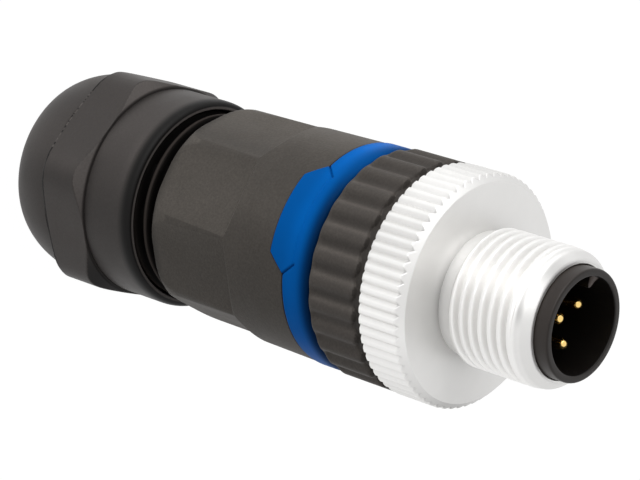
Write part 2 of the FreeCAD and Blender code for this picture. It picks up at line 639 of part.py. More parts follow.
def terminal_block():
    """Round block with a pocket for each clamp and a socket for the carrier."""
    body = rod(BLOCK_R, BLOCK_REAR, BLOCK_FRONT)
    for angle in (0.0, 180.0):
        body = body.fuse(box_at(angle, (BLOCK_R - 1.0, BLOCK_R + LUG_HEIGHT), LUG_WIDTH, LUG_Z, LUG_Z + LUG_LENGTH))
    socket = rod(CARRIER_R + POCKET_CLEARANCE, CARRIER_REAR - SEAT_GAP, BLOCK_FRONT + 1.0)
    land = box_at(KEY_ANGLE, (CARRIER_FLAT + POCKET_CLEARANCE, CARRIER_R + 1.0), CARRIER_R * 2,
                  CARRIER_REAR - 1.0, CARRIER_REAR + CARRIER_FLAT_LENGTH - SEAT_GAP)
    body = body.cut(socket.cut(land))
    grow = POCKET_CLEARANCE
    body = body.cut(clamp_body(FIRST_PIN_ANGLE, 0.0, grow, BLOCK_REAR - 1.0))
    body = body.cut(rod(PIN_R + grow, CLAMP_FRONT - 1.0, BLOCK_FRONT))
    for angle in pin_angles():
        centre = polar(PIN_CIRCLE_R, angle)
        body = body.cut(clamp_body(angle, CLAMP_CIRCLE_R, grow, BLOCK_REAR - 1.0))
        body = body.cut(box_at(angle, (PIN_CIRCLE_R - PIN_R - grow, CLAMP_CIRCLE_R + LINK_OVERLAP + grow),
                               LINK_WIDTH + 2 * grow, BLOCK_REAR - 1.0, LINK_TOP + grow))
        body = body.cut(rod(PIN_R + grow, LINK_TOP, BLOCK_FRONT, (centre.x, centre.y)))
        body = body.cut(radial_rod(angle, TERMINAL_R, CLAMP_CIRCLE_R, BLOCK_R + 1.0, TERMINAL_Z))
    body = body.cut(radial_rod(centre_screw_angle(), TERMINAL_R, 0.5, BLOCK_R + 1.0, TERMINAL_Z))
    for angle in peg_angles():
        centre = polar(COVER_PEG_CIRCLE_R, angle)
        body = body.cut(rod(COVER_PEG_R + grow, BLOCK_REAR - 1.0, BLOCK_REAR + COVER_PEG_LENGTH + 0.2,
                            (centre.x, centre.y)))
    return body


def peg_angles():
    first = centre_screw_angle()
    return [first + 90.0, first + 180.0, first + 270.0]


def block_cover():
    """Rear plate of the block: five wire funnels and three locating pegs."""
    rear = BLOCK_REAR - SEAT_GAP - COVER_THICKNESS
    front = BLOCK_REAR - SEAT_GAP
    body = rod(BLOCK_R, rear, front)
    for angle in peg_angles():
        centre = polar(COVER_PEG_CIRCLE_R, angle)
        body = body.fuse(rod(COVER_PEG_R, rear, BLOCK_REAR + COVER_PEG_LENGTH, (centre.x, centre.y)))
    funnel = turned([
        (0.0, rear - 0.1),
        (WIRE_HOLE_R + COVER_FUNNEL, rear - 0.1),
        (WIRE_HOLE_R + COVER_FUNNEL, rear),
        (WIRE_HOLE_R, rear + COVER_FUNNEL),
        (WIRE_HOLE_R, front + 0.1),
        (0.0, front + 0.1)])
    body = body.cut(funnel)
    for angle in pin_angles():
        copy = funnel.copy()
        copy.translate(polar(CLAMP_CIRCLE_R, angle))
        body = body.cut(copy)
    return body


def write(name, shape):
    shape.exportStep("parts/" + name + ".step")
    box = shape.BoundBox
    print(name, shape.ShapeType, len(shape.Solids), shape.isValid(), round(shape.Volume, 2),
          round(box.ZMin, 2), round(box.ZMax, 2), round(box.XMax, 2))


def main():
    os.makedirs("parts", exist_ok=True)
    write("gland_nut", gland_nut())
    write("clamp_cage", clamp_cage())
    write("gland_seal", gland_seal())
    write("housing", housing())
    write("colour_ring", colour_ring())
    write("housing_seal", housing_seal())
    write("grip_body", grip_body())
    write("coupling_screw", coupling_screw())
    write("contact_carrier", contact_carrier())
    write("carrier_seal", carrier_seal())
    write("terminal_block", terminal_block())
    write("block_cover", block_cover())
    clamp_tip = CLAMP_CIRCLE_R + WIRE_HOLE_R - TERMINAL_BITE
    for number, angle in enumerate(pin_angles(), start=1):
        write("contact_%d" % number, outer_contact(angle))
        write("terminal_screw_%d" % number, terminal_screw(angle, clamp_tip))
    write("contact_5", centre_contact(centre_screw_angle()))
    write("terminal_screw_5", terminal_screw(centre_screw_angle(), WIRE_HOLE_R - TERMINAL_BITE))


main()
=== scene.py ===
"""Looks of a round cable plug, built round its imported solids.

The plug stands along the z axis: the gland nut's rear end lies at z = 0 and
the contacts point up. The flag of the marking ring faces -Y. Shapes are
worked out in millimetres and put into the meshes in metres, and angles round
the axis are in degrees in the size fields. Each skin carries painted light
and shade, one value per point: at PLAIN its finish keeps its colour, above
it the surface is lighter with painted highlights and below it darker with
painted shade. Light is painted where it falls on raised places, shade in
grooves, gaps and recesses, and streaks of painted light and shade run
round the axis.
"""

import logging
import math
from dataclasses import dataclass, field
from enum import Enum
from typing import ClassVar, Sequence

import bpy
import numpy as np
from mathutils import Matrix, Vector


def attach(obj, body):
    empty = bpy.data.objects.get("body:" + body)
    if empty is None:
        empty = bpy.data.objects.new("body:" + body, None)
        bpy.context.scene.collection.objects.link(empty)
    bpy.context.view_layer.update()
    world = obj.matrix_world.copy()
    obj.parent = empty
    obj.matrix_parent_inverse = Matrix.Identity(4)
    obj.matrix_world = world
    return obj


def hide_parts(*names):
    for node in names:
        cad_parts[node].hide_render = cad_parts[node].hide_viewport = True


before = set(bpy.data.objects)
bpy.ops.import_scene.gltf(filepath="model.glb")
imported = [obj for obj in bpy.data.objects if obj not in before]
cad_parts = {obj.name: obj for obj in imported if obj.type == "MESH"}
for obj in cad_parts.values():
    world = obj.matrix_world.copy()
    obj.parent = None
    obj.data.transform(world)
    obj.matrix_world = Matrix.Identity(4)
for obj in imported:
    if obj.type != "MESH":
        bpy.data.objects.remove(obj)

LOG = logging.getLogger("plug")
Array = np.ndarray
# Place, width and rise of each soft streak of painted light and shade, place and width in degrees.
Streaks = tuple[tuple[float, float, float], ...]
MM = 0.001
# Angle of the flag's middle, and of the first column of each skin.
FLAG_CENTRE = -90.0
SEAM = 90.0
# Painted light at which a finish keeps its colour.
PLAIN = 0.5
WHITE = (1.0, 1.0, 1.0, 1.0)


# Surfaces

@dataclass
class Skin:
    """A closed skin round the z axis, as rows of section points by columns of angles."""

    radius: Array
    height: Array
    angle: Array
    poles: bool = False

    def points(self) -> Array:
        """Turn radius, height and angle into points in metres.

        Formula: x = r cos(a), y = r sin(a), z = h.

        Returns:
            An array of shape (rows, columns, 3).
        """
        turn = np.broadcast_to(self.angle, self.radius.shape)
        stack = (self.radius * np.cos(turn), self.radius * np.sin(turn), self.height)
        return np.stack(stack, axis=-1) * MM

    def shape(self) -> tuple[Array, list[list[int]]]:
        """List the vertices and faces of the skin.

        Formula: each cell of the grid is one quad, the columns close on
        themselves, and the rows close on themselves too unless the first and
        last row are poles, each of which becomes one vertex with a fan.

        Returns:
            The vertices as (n, 3), and the faces as lists of vertex numbers.
        """
        rows, columns = self.radius.shape
        points = self.per_vertex(self.points())
        if self.poles:
            ring = 1 + np.arange((rows - 2) * columns).reshape(rows - 2, columns)
            after = np.roll(ring, -1, axis=1)
            quads = np.stack([ring[:-1], after[:-1], after[1:], ring[1:]], axis=-1).reshape(-1, 4)
            start, end = np.zeros(columns, int), np.full(columns, len(points) - 1)
            first = np.stack([start, after[0], ring[0]], axis=-1)
            last = np.stack([ring[-1], after[-1], end], axis=-1)
            return points, quads.tolist() + first.tolist() + last.tolist()
        number = np.arange(rows * columns).reshape(rows, columns)
        after = np.roll(number, -1, axis=1)
        quads = np.stack([number, after, np.roll(after, -1, axis=0), np.roll(number, -1, axis=0)], axis=-1)
        return points, quads.reshape(-1, 4).tolist()

    def per_vertex(self, values: Array) -> Array:
        """List the values of a grid by vertex; a pole keeps one value of its row.

        Args:
            values: One number or point for each cell corner of the grid.

        Returns:
            One number or point for each vertex.
        """
        listed = values.reshape(-1, *values.shape[2:])
        if self.poles:
            columns = values.shape[1]
            listed = np.concatenate([listed[:1], listed[columns:-columns], listed[-1:]])
        return listed


@dataclass
class Section:
    """Corners of a section, each a radius, a height and how far it is rounded."""

    columns: int
    rows: list[Array] = field(default_factory=list)
    runs: list[int] = field(default_factory=list)

    def corner(self, radius: float | Array, height: float | Array, before: float | Array = 0.0,
               after: float | Array | None = None, run: int = 1) -> None:
        """Add one corner.

        Args:
            radius: Distance from the axis, one value or one per column.
            height: Place along the axis, one value or one per column.
            before: How far the rounding starts before the corner.
            after: How far it ends after the corner, as before if left out.
            run: Number of steps from this corner to the next one.
        """
        values = (radius, height, before, before if after is None else after)
        self.rows.append(np.stack([np.broadcast_to(np.asarray(v, float), (self.columns,)) for v in values]))
        self.runs.append(run)

    def trace(self, closed: bool = True, arc: int = 6) -> tuple[Array, Array]:
        """Work out the rows of radius and height.

        Formula: a rounded corner C between the points A and B on its two runs
        is the curve (1-t)^2 A + 2t(1-t) C + t^2 B, and each straight run is cut
        into equal steps.

        Args:
            closed: Whether the last corner joins the first one.
            arc: Number of steps round a rounded corner.

        Returns:
            Radius and height, each of shape (rows, columns).
        """
        points = np.stack(self.rows)
        place, before, after = points[:, :2], points[:, 2], points[:, 3]
        ahead = np.roll(place, -1, axis=0) - place
        length = np.maximum(np.hypot(ahead[:, 0], ahead[:, 1]), 1e-9)[:, None]
        ahead = ahead / length
        back = -np.roll(ahead, 1, axis=0)
        enter = place + back * before[:, None]
        leave = place + ahead * after[:, None]
        out: list[Array] = []
        count = len(self.runs)
        for i in range(count):
            if before[i].max() > 0 or after[i].max() > 0:
                t = np.linspace(0.0, 1.0, arc + 1)[:, None, None]
                out.append((1 - t) ** 2 * enter[i] + 2 * t * (1 - t) * place[i] + t ** 2 * leave[i])
            else:
                out.append(place[i][None])
            if not closed and i == count - 1:
                break
            t = (np.arange(1, self.runs[i]) / self.runs[i])[:, None, None]
            out.append(leave[i] + t * (enter[(i + 1) % count] - leave[i]))
        rows = np.concatenate(out)
        return rows[:, 0], rows[:, 1]


def even_angles(count: int) -> Array:
    """Give count angles round the axis, in radians, with the seam away from the flag."""
    return math.radians(SEAM) + np.arange(count) * (2 * math.pi / count)


def with_band(base: Array, centre: float, half: float, step: float, clear: float) -> Array:
    """Put closer angles round one centre, all in degrees.

    Formula: the angles nearer than clear to the centre give way to those from
    centre - half to centre + half in equal steps.

    Args:
        base: The angles so far, from the seam over one turn.
        centre: Centre of the band.
        half: Half width of the band.
        step: Step inside the band.
        clear: Distance from the centre within which the old angles go.

    Returns:
        The angles, not sorted.
    """
    middle = (centre - SEAM) % 360.0 + SEAM
    fine = np.arange(-half, half + step / 2, step)
    return np.concatenate([base[np.abs(base - middle) > clear], middle + fine])


def finer_angles(count: int, centres: Sequence[float], half: float, step: float) -> Array:
    """Give even angles with closer ones round some centres.

    Formula: each centre in turn gets its band of closer angles, which clears
    half a step more than its half width.

    Args:
        count: Number of even angles.
        centres: Centres of the bands, in degrees.
        half: Half width of a band, in degrees.
        step: Step inside a band, in degrees.

    Returns:
        Rising angles in radians within one turn from the seam.
    """
    base = np.degrees(even_angles(count))
    for centre in centres:
        base = with_band(base, centre, half, step, half + step / 2)
    return np.radians(np.unique(np.round(np.sort(base), 6)))


def soft_min(first: Array | float, second: Array | float, blend: float) -> Array:
    """Give the smaller value with a rounded change-over.

    Formula: min(a, b) - k log(1 + exp(-|a - b| / k)), with k the blend.

    Args:
        first: First value.
        second: Second value.
        blend: Size of the change-over, in millimetres.

    Returns:
        The rounded smaller value.
    """
    first, second = np.broadcast_arrays(np.asarray(first, float), np.asarray(second, float))
    return np.minimum(first, second) - blend * np.log1p(np.exp(-np.abs(first - second) / blend))


def smooth_step(value: Array, low: float, high: float) -> Array:
    """Rise from 0 at low to 1 at high along 3t^2 - 2t^3."""
    t = np.clip((value - low) / (high - low), 0.0, 1.0)
    return t * t * (3.0 - 2.0 * t)


def bell(distance: Array | float, width: float) -> Array:
    """Give exp(-(distance / width)^2): 1 in the middle, falling away softly on both sides."""
    return np.exp(-(distance / width) ** 2)


def streak_tone(angle: Array, streaks: Streaks, base: float = 0.0) -> Array:
    """Add up the soft streaks of painted light and shade round a turned surface.

    Formula: base plus the sum of rise x bell(degrees from the streak, width).

    Args:
        angle: Angles round the axis, in radians.
        streaks: Place, width (both in degrees) and rise of each streak.
        base: Tone away from all streaks.

    Returns:
        The tone at each angle.
    """
    return base + sum(rise * bell(off_centre(angle, place), width) for place, width, rise in streaks)


def toned(painted_light: Array, place: Array, tone: Array) -> Array:
    """Add a tone to the painted light and shade where place holds."""
    return np.where(place, painted_light + tone, painted_light)


def off_centre(angle: Array, centre: float) -> Array:
    """Give how far each angle lies from a centre, in degrees within -180 to 180."""
    return (np.degrees(angle) - centre + 180.0) % 360.0 - 180.0


def repeat_share(angle: Array, count: int, centre: float) -> Array:
    """Give the place within each of count repeats, from -0.5 to 0.5, with 0 at the centre."""
    return ((np.degrees(angle) - centre) * count / 360.0 + 0.5) % 1.0 - 0.5


def helix_share(angle: Array, height: Array, crest: float, pitch: float) -> Array:
    """Give the place of each point within the pitch of a right-hand thread.

    Formula: (height - crest) / pitch less the turns from the flag, moved by
    whole pitches into -0.5 to 0.5, so that 0 is the crest.

    Args:
        angle: Angle of each column, in radians.
        height: Height of each point.
        crest: Height of a crest at the flag's angle.
        pitch: Climb in one turn.

    Returns:
        The share of the pitch at each point.
    """
    climb = (np.degrees(angle) - FLAG_CENTRE) / 360.0
    return ((height - crest) / pitch - climb[None, :] + 0.5) % 1.0 - 0.5


def mesh_object(name: str, skin: Skin, sharp: float, painted_light: Array) -> bpy.types.Object:
    """Make an object from a skin, with its faces outwards.

    Formula: the volume is the sum of p0 . (p1 x p2) / 6 over the triangles; if
    it is negative, each face is turned round.

    Args:
        name: Name of the object and its mesh.
        skin: The skin to build.
        sharp: Angle in degrees above which an edge is shaded sharp.
        painted_light: Painted light and shade of each point of the grid, PLAIN where it is even.

    Returns:
        The new object, linked to the scene.
    """
    points, faces = skin.shape()
    three = np.array([face[:3] for face in faces])
    four = np.array([face for face in faces if len(face) == 4])
    corners = [points[three], points[four[:, [0, 2, 3]]]]
    volume = sum(np.einsum("ij,ij->", part[:, 0], np.cross(part[:, 1], part[:, 2])) for part in corners)
    if volume < 0:
        faces = [face[::-1] for face in faces]
    mesh = bpy.data.meshes.new(name)
    mesh.from_pydata(points.tolist(), [], faces)
    mesh.polygons.foreach_set("use_smooth", np.ones(len(faces), bool))
    mesh.update()
    mesh.set_sharp_from_angle(angle=math.radians(sharp))
    # The painted light and shade goes on the mesh, for the finish to lighten and darken its colour by.
    layer = mesh.attributes.new("painted_light", "FLOAT", "POINT")
    layer.data.foreach_set("value", skin.per_vertex(painted_light).astype(np.float32))
    item = bpy.data.objects.new(name, mesh)
    bpy.context.scene.collection.objects.link(item)
    LOG.info("%s: %d vertices, %d faces", name, len(points), len(faces))
    return item


# Materials

class Socket(Enum):
    """Kinds of socket that the shared groups use."""

    VALUE = "NodeSocketFloat"
    VECTOR = "NodeSocketVector"


class Sketch:
    """A short way to add and join nodes in one node tree."""

    def __init__(self, tree: bpy.types.NodeTree) -> None:
        """Keep the tree to draw in."""
        self.tree = tree

    def add(self, kind: str, **values: object) -> bpy.types.Node:
        """Add a node.

        Args:
            kind: Node type, without the leading ShaderNode.
            values: Properties by name; names of input sockets start with in_.

        Returns:
            The new node.
        """
        prefix = "" if kind.startswith("Node") else "ShaderNode"
        node = self.tree.nodes.new(prefix + kind)
        for key, value in values.items():
            if key.startswith("in_"):
                node.inputs[key[3:].replace("_", " ")].default_value = value
            else:
                setattr(node, key, value)
        return node

    def join(self, source: bpy.types.NodeSocket, target: bpy.types.NodeSocket) -> None:
        """Join an output to an input."""
        self.tree.links.new(source, target)

    def math(self, operation: str, *values: bpy.types.NodeSocket | float) -> bpy.types.NodeSocket:
        """Add a Math node.

        Args:
            operation: Name of the operation.
            values: A socket or a number for each input, in order.

        Returns:
            The node's output socket.
        """
        node = self.add("Math", operation=operation)
        for slot, value in enumerate(values):
            if isinstance(value, bpy.types.NodeSocket):
                self.join(value, node.inputs[slot])
            else:
                node.inputs[slot].default_value = value
        return node.outputs[0]

    def around(self, value: bpy.types.NodeSocket, amount: float, middle: float) -> bpy.types.NodeSocket:
        """Give middle + amount x (value - 0.5)."""
        return self.math("MULTIPLY_ADD", self.math("SUBTRACT", value, 0.5), amount, middle)

    def span(self, value: bpy.types.NodeSocket, low: float, high: float) -> bpy.types.NodeSocket:
        """Map low to high onto 0 to 1 and clamp the result."""
        node = self.add("MapRange", clamp=True, in_From_Min=low, in_From_Max=high)
        self.join(value, node.inputs["Value"])
        return node.outputs["Result"]

    def texture(self, kind: str, start: bpy.types.Node, share: float, **values: object) -> bpy.types.Node:
        """Add a texture that reads a group's Vector and a share of its Per Metre.

        Args:
            kind: Node type, as in add.
            start: The group's input node.
            share: Scale of the texture as a share of Per Metre.
            values: Further properties and inputs, as in add.

        Returns:
            The texture node.
        """
        node = self.add(kind, **values)
        self.join(start.outputs["Vector"], node.inputs["Vector"])
        self.join(self.math("MULTIPLY", start.outputs["Per Metre"], share), node.inputs["Scale"])
        return node

    def effect(self, group: bpy.types.NodeTree, where: bpy.types.NodeSocket,
               per_metre: float | None = None) -> bpy.types.Node:
        """Place a shared group.

        Args:
            group: The group.
            where: The socket with the coordinates.
            per_metre: Its scale, or its own default if left out.

        Returns:
            The group node.
        """
        node = self.add("Group", node_tree=group)
        self.join(where, node.inputs["Vector"])
        if per_metre is not None:
            node.inputs["Per Metre"].default_value = per_metre
        return node


def new_group(name: str, inputs: Sequence[tuple[str, Socket, float]],
              outputs: Sequence[tuple[str, Socket]]) -> tuple[Sketch, bpy.types.Node, bpy.types.Node]:
    """Start a shader node group.

    Args:
        name: Name of the group.
        inputs: Name, kind and default of each input.
        outputs: Name and kind of each output.

    Returns:
        The sketch of its tree, its input node and its output node.
    """
    tree = bpy.data.node_groups.new(name, "ShaderNodeTree")
    for label, kind, default in inputs:
        socket = tree.interface.new_socket(name=label, in_out="INPUT", socket_type=kind.value)
        if kind is Socket.VALUE:
            socket.default_value = default
    for label, kind in outputs:
        tree.interface.new_socket(name=label, in_out="OUTPUT", socket_type=kind.value)
    sketch = Sketch(tree)
    return sketch, sketch.add("NodeGroupInput"), sketch.add("NodeGroupOutput")


class Effects:
    """The surface effects that several finishes share, each a node group."""

    def __init__(self) -> None:
        """Build the groups once."""
        self.grain = self._grain()
        self.turned = self._turned()
        self.handling = self._handling()

    @staticmethod
    def _grain() -> bpy.types.NodeTree:
        """Make the fine eroded grain of a moulded part.

        Formula: height = 0.6 x noise + 0.4 x distance to the next cell of a
        slightly finer pattern, and tone = a noise about fourteen times as large.

        Returns:
            The node group, with Height and Tone outputs.
        """
        sketch, start, end = new_group(
            "moulded_grain", [("Vector", Socket.VECTOR, 0.0), ("Per Metre", Socket.VALUE, 6000.0)],
            [("Height", Socket.VALUE), ("Tone", Socket.VALUE)])
        fine = sketch.texture("TexNoise", start, 1.0, in_Detail=3.0, in_Roughness=0.6)
        cells = sketch.texture("TexVoronoi", start, 1.3, feature="SMOOTH_F1", in_Smoothness=0.6)
        slow = sketch.texture("TexNoise", start, 0.07, in_Detail=4.0, in_Roughness=0.55)
        mixed = sketch.math("ADD", sketch.math("MULTIPLY", fine.outputs[0], 0.6),
                            sketch.math("MULTIPLY", cells.outputs["Distance"], 0.4))
        sketch.join(mixed, end.inputs["Height"])
        sketch.join(slow.outputs[0], end.inputs["Tone"])
        return sketch.tree

    @staticmethod
    def _turned() -> bpy.types.NodeTree:
        """Make the fine rings that turning leaves on a lathe part.

        Formula: height = 0.7 x noise of (0.02 x, distance from the axis, z),
        which runs in thin rings, + 0.3 x plain noise.

        Returns:
            The node group, with a Height output.
        """
        sketch, start, end = new_group(
            "turned_marks", [("Vector", Socket.VECTOR, 0.0), ("Per Metre", Socket.VALUE, 9000.0)],
            [("Height", Socket.VALUE)])
        split = sketch.add("SeparateXYZ")
        sketch.join(start.outputs["Vector"], split.inputs[0])
        squares = [sketch.math("MULTIPLY", split.outputs[i], split.outputs[i]) for i in range(2)]
        rings = sketch.add("CombineXYZ")
        sketch.join(sketch.math("MULTIPLY", split.outputs[0], 0.02), rings.inputs[0])
        sketch.join(sketch.math("SQRT", sketch.math("ADD", *squares)), rings.inputs[1])
        sketch.join(split.outputs[2], rings.inputs[2])
        lines = sketch.add("TexNoise", in_Detail=2.0)
        sketch.join(rings.outputs[0], lines.inputs["Vector"])
        sketch.join(start.outputs["Per Metre"], lines.inputs["Scale"])
        speckle = sketch.texture("TexNoise", start, 1.0, in_Detail=2.0)
        sketch.join(sketch.math("ADD", sketch.math("MULTIPLY", lines.outputs[0], 0.7),
                                sketch.math("MULTIPLY", speckle.outputs[0], 0.3)), end.inputs["Height"])
        return sketch.tree

    @staticmethod
    def _handling() -> bpy.types.NodeTree:
        """Make the marks of handling: faint smears and small specks.

        Formula: smear = a slow noise, stretched from 0.45 to 0.75 onto 0 to 1;
        speck = 1 within 0.05 of a cell's point, falling to 0 at 0.10.

        Returns:
            The node group, with Smear and Speck outputs.
        """
        sketch, start, end = new_group(
            "handling_marks", [("Vector", Socket.VECTOR, 0.0), ("Per Metre", Socket.VALUE, 900.0)],
            [("Smear", Socket.VALUE), ("Speck", Socket.VALUE)])
        smear = sketch.texture("TexNoise", start, 0.25, in_Detail=5.0, in_Roughness=0.6, in_Distortion=0.6)
        speck = sketch.texture("TexVoronoi", start, 1.0, in_Randomness=1.0)
        sketch.join(sketch.span(smear.outputs[0], 0.45, 0.75), end.inputs["Smear"])
        sketch.join(sketch.span(speck.outputs["Distance"], 0.10, 0.05), end.inputs["Speck"])
        return sketch.tree


@dataclass(frozen=True)
class Finish:
    """One finish: its colour, its gloss and how its surface is worked.

    Grain and rings are given per metre, and their depths in metres. The other
    fields say how far the slow noise, the grain, the smears, the painted light
    and shade and the specks change the colour or the gloss.
    """

    name: str
    colour: tuple[float, float, float]
    roughness: float
    metallic: float = 0.0
    specular: float = 0.5
    grain: float = 6000.0
    grain_depth: float = 4e-6
    rings: float = 0.0
    rings_depth: float = 0.0
    tone: float = 0.12
    mottle: float = 0.0
    gloss_change: float = 0.08
    painted_light_tone: float = 0.0
    speck: float = 0.0

    def build(self, effects: Effects) -> bpy.types.Material:
        """Make the material.

        Formula: roughness = base + gloss change x (smear - 0.5); the colour
        and the normal have methods of their own.

        Args:
            effects: The shared groups.

        Returns:
            The new material.
        """
        material = bpy.data.materials.new(self.name)
        material.use_nodes = True
        material.diffuse_color = (*self.colour, 1.0)
        material.node_tree.nodes.clear()
        sketch = Sketch(material.node_tree)
        shader = sketch.add("BsdfPrincipled", in_Metallic=self.metallic, in_Specular_IOR_Level=self.specular)
        sketch.join(shader.outputs[0], sketch.add("OutputMaterial").inputs["Surface"])
        where = sketch.add("TexCoord").outputs["Object"]
        grain = sketch.effect(effects.grain, where, self.grain)
        marks = sketch.effect(effects.handling, where)
        sketch.join(self._paint(sketch, grain, marks), shader.inputs["Base Color"])
        gloss = sketch.around(marks.outputs["Smear"], self.gloss_change, self.roughness)
        sketch.join(gloss, shader.inputs["Roughness"])
        sketch.join(self._normal(sketch, grain, effects, where), shader.inputs["Normal"])
        return material

    def _paint(self, sketch: Sketch, grain: bpy.types.Node, marks: bpy.types.Node) -> bpy.types.NodeSocket:
        """Shade the colour.

        Formula: colour = base x ((1 + tone x (slow noise - 0.5) + mottle x
        (grain - 0.5)) x (1 + painted light tone x (painted light - 0.5)) +
        speck x specks), so the painted light and shade lightens and darkens it.

        Args:
            sketch: The material's tree.
            grain: The grain's group node.
            marks: The handling marks' group node.

        Returns:
            The socket with the colour.
        """
        tone = sketch.around(grain.outputs["Tone"], self.tone, 1.0)
        if self.mottle:
            tone = sketch.math("ADD", tone, sketch.around(grain.outputs["Height"], self.mottle, 0.0))
        # Painted light and shade from the mesh lightens and darkens the colour.
        painted_light = sketch.add("Attribute", attribute_name="painted_light")
        shade = sketch.math("MULTIPLY", tone, sketch.around(painted_light.outputs["Fac"], self.painted_light_tone, 1.0))
        shade = sketch.math("ADD", shade, sketch.math("MULTIPLY", marks.outputs["Speck"], self.speck))
        paint = sketch.add("VectorMath", operation="SCALE")
        paint.inputs[0].default_value = self.colour
        sketch.join(shade, paint.inputs["Scale"])
        return paint.outputs[0]

    def _normal(self, sketch: Sketch, grain: bpy.types.Node, effects: Effects,
                where: bpy.types.NodeSocket) -> bpy.types.NodeSocket:
        """Bump the surface by the grain and, on turned parts, by the rings.

        Args:
            sketch: The material's tree.
            grain: The grain's group node.
            effects: The shared groups.
            where: The socket with the coordinates.

        Returns:
            The socket with the normal.
        """
        bump = sketch.add("Bump", in_Strength=1.0, in_Distance=self.grain_depth)
        sketch.join(grain.outputs["Height"], bump.inputs["Height"])
        if not self.rings_depth:
            return bump.outputs[0]
        rings = sketch.effect(effects.turned, where, self.rings)
        turned = sketch.add("Bump", in_Strength=1.0, in_Distance=self.rings_depth)
        sketch.join(rings.outputs["Height"], turned.inputs["Height"])
        sketch.join(bump.outputs[0], turned.inputs["Normal"])
        return turned.outputs[0]


class Finishes(Enum):
    """The finishes of the plug."""

    BODY = Finish("body_moulded", (0.0855, 0.0765, 0.0675), 0.60, specular=0.15, grain=4200.0,
                  grain_depth=30e-6, tone=0.22, mottle=0.70, painted_light_tone=0.80, speck=0.10)
    GRIP = Finish("grip_moulded", (0.078, 0.069, 0.062), 0.56, specular=0.15, grain=4200.0,
                  grain_depth=24e-6, tone=0.22, mottle=0.60, painted_light_tone=0.9, speck=0.10)
    NUT = Finish("nut_satin", (0.0625, 0.0560, 0.0530), 0.50, specular=0.15, grain=4600.0,
                 grain_depth=8e-6, tone=0.16, mottle=0.35, painted_light_tone=0.8, speck=0.06)
    # Painted shade: far darker than the body's plastic, for the neck in the shaded gap under the nut.
    NECK = Finish("neck_painted_shade", (0.0012, 0.0010, 0.0009), 0.60, specular=0.03, grain=5000.0,
                  painted_light_tone=4.0)
    BLUE = Finish("marking_blue", (0.0, 0.103, 0.405), 0.50, specular=0.03, grain=5200.0,
                  grain_depth=3e-6, tone=0.10, painted_light_tone=0.9)
    PLATED = Finish("plated_satin", (0.885, 0.878, 0.865), 0.50, metallic=0.92, specular=0.3, grain=9000.0,
                    grain_depth=2e-6, rings=9000.0, rings_depth=1.5e-6, tone=0.05, painted_light_tone=0.12)
    SHROUD = Finish("shroud_satin", (0.032, 0.026, 0.023), 0.42, specular=0.25, grain=5000.0,
                    grain_depth=3e-6, painted_light_tone=1.4)
    INNER = Finish("inner_moulded", (0.05, 0.05, 0.052), 0.55, grain=4500.0, grain_depth=8e-6, tone=0.15)
    SEAL = Finish("seal_rubber", (0.02, 0.02, 0.021), 0.68, specular=0.35, grain=3500.0,
                  grain_depth=10e-6, tone=0.2)
    CONTACT = Finish("contact_gold", (0.95, 0.66, 0.24), 0.22, metallic=1.0, grain=9000.0,
                     grain_depth=1e-6, tone=0.05, rings=12000.0, rings_depth=1e-6)
    STEEL = Finish("screw_steel", (0.55, 0.55, 0.54), 0.34, metallic=1.0, grain=9000.0,
                   grain_depth=2e-6, tone=0.06, rings=9000.0, rings_depth=2e-6)


class Workshop:
    """Holds the built materials and dresses the pieces with them."""

    def __init__(self) -> None:
        """Build the shared groups and one material for each finish."""
        effects = Effects()
        self.materials = {finish: finish.value.build(effects) for finish in Finishes}

    def dress(self, item: bpy.types.Object, finish: Finishes, body: str,
              stands_for: Sequence[str]) -> None:
        """Give a new piece its finish, its body and the solids that it stands for.

        Args:
            item: The piece.
            finish: Its finish.
            body: The body that it moves with.
            stands_for: The solids that it replaces.
        """
        item.data.materials.clear()
        item.data.materials.append(self.materials[finish])
        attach(item, body)
        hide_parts(*stands_for)
        LOG.info("%s rides on %s and has the finish %s", item.name, body, finish.value.name)

    def dress_node(self, name: str, finish: Finishes) -> None:
        """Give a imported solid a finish.

        Args:
            name: The solid's node name.
            finish: Its finish.
        """
        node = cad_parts[name]
        for slot in node.material_slots:
            slot.material = self.materials[finish]
        if not node.material_slots:
            node.data.materials.append(self.materials[finish])
        LOG.info("%s keeps its solid and has the finish %s", name, finish.value.name)


class Piece:
    """A sub-assembly of closed skins that share a finish, a body, a slot and a solid.

    Each subclass says what its piece is called, its finish, the body that it
    moves with, the record's slot and the solid that it stands for. Its size
    fields are in millimetres and its angles in degrees.
    """

    name: ClassVar[str]
    finish: ClassVar[Finishes]
    body: ClassVar[str]
    slot: ClassVar[str]
    solid: ClassVar[str]
    sharp: ClassVar[float] = 38.0

    def skin(self) -> tuple[Skin, Array]:
        """Work out the piece's skin and its painted light and shade."""
        raise NotImplementedError

    def skins(self) -> dict[str, tuple[Skin, Array]]:
        """Give each skin and its painted light and shade by the name of its piece."""
        return {self.name: self.skin()}

    def build(self, shop: Workshop) -> None:
        """Build and dress the skins.

        Args:
            shop: The workshop with the finishes.
        """
        for name, (skin, painted_light) in self.skins().items():
            item = mesh_object(name, skin, self.sharp, painted_light)
            shop.dress(item, self.finish, self.body, [self.solid])


# The gland end

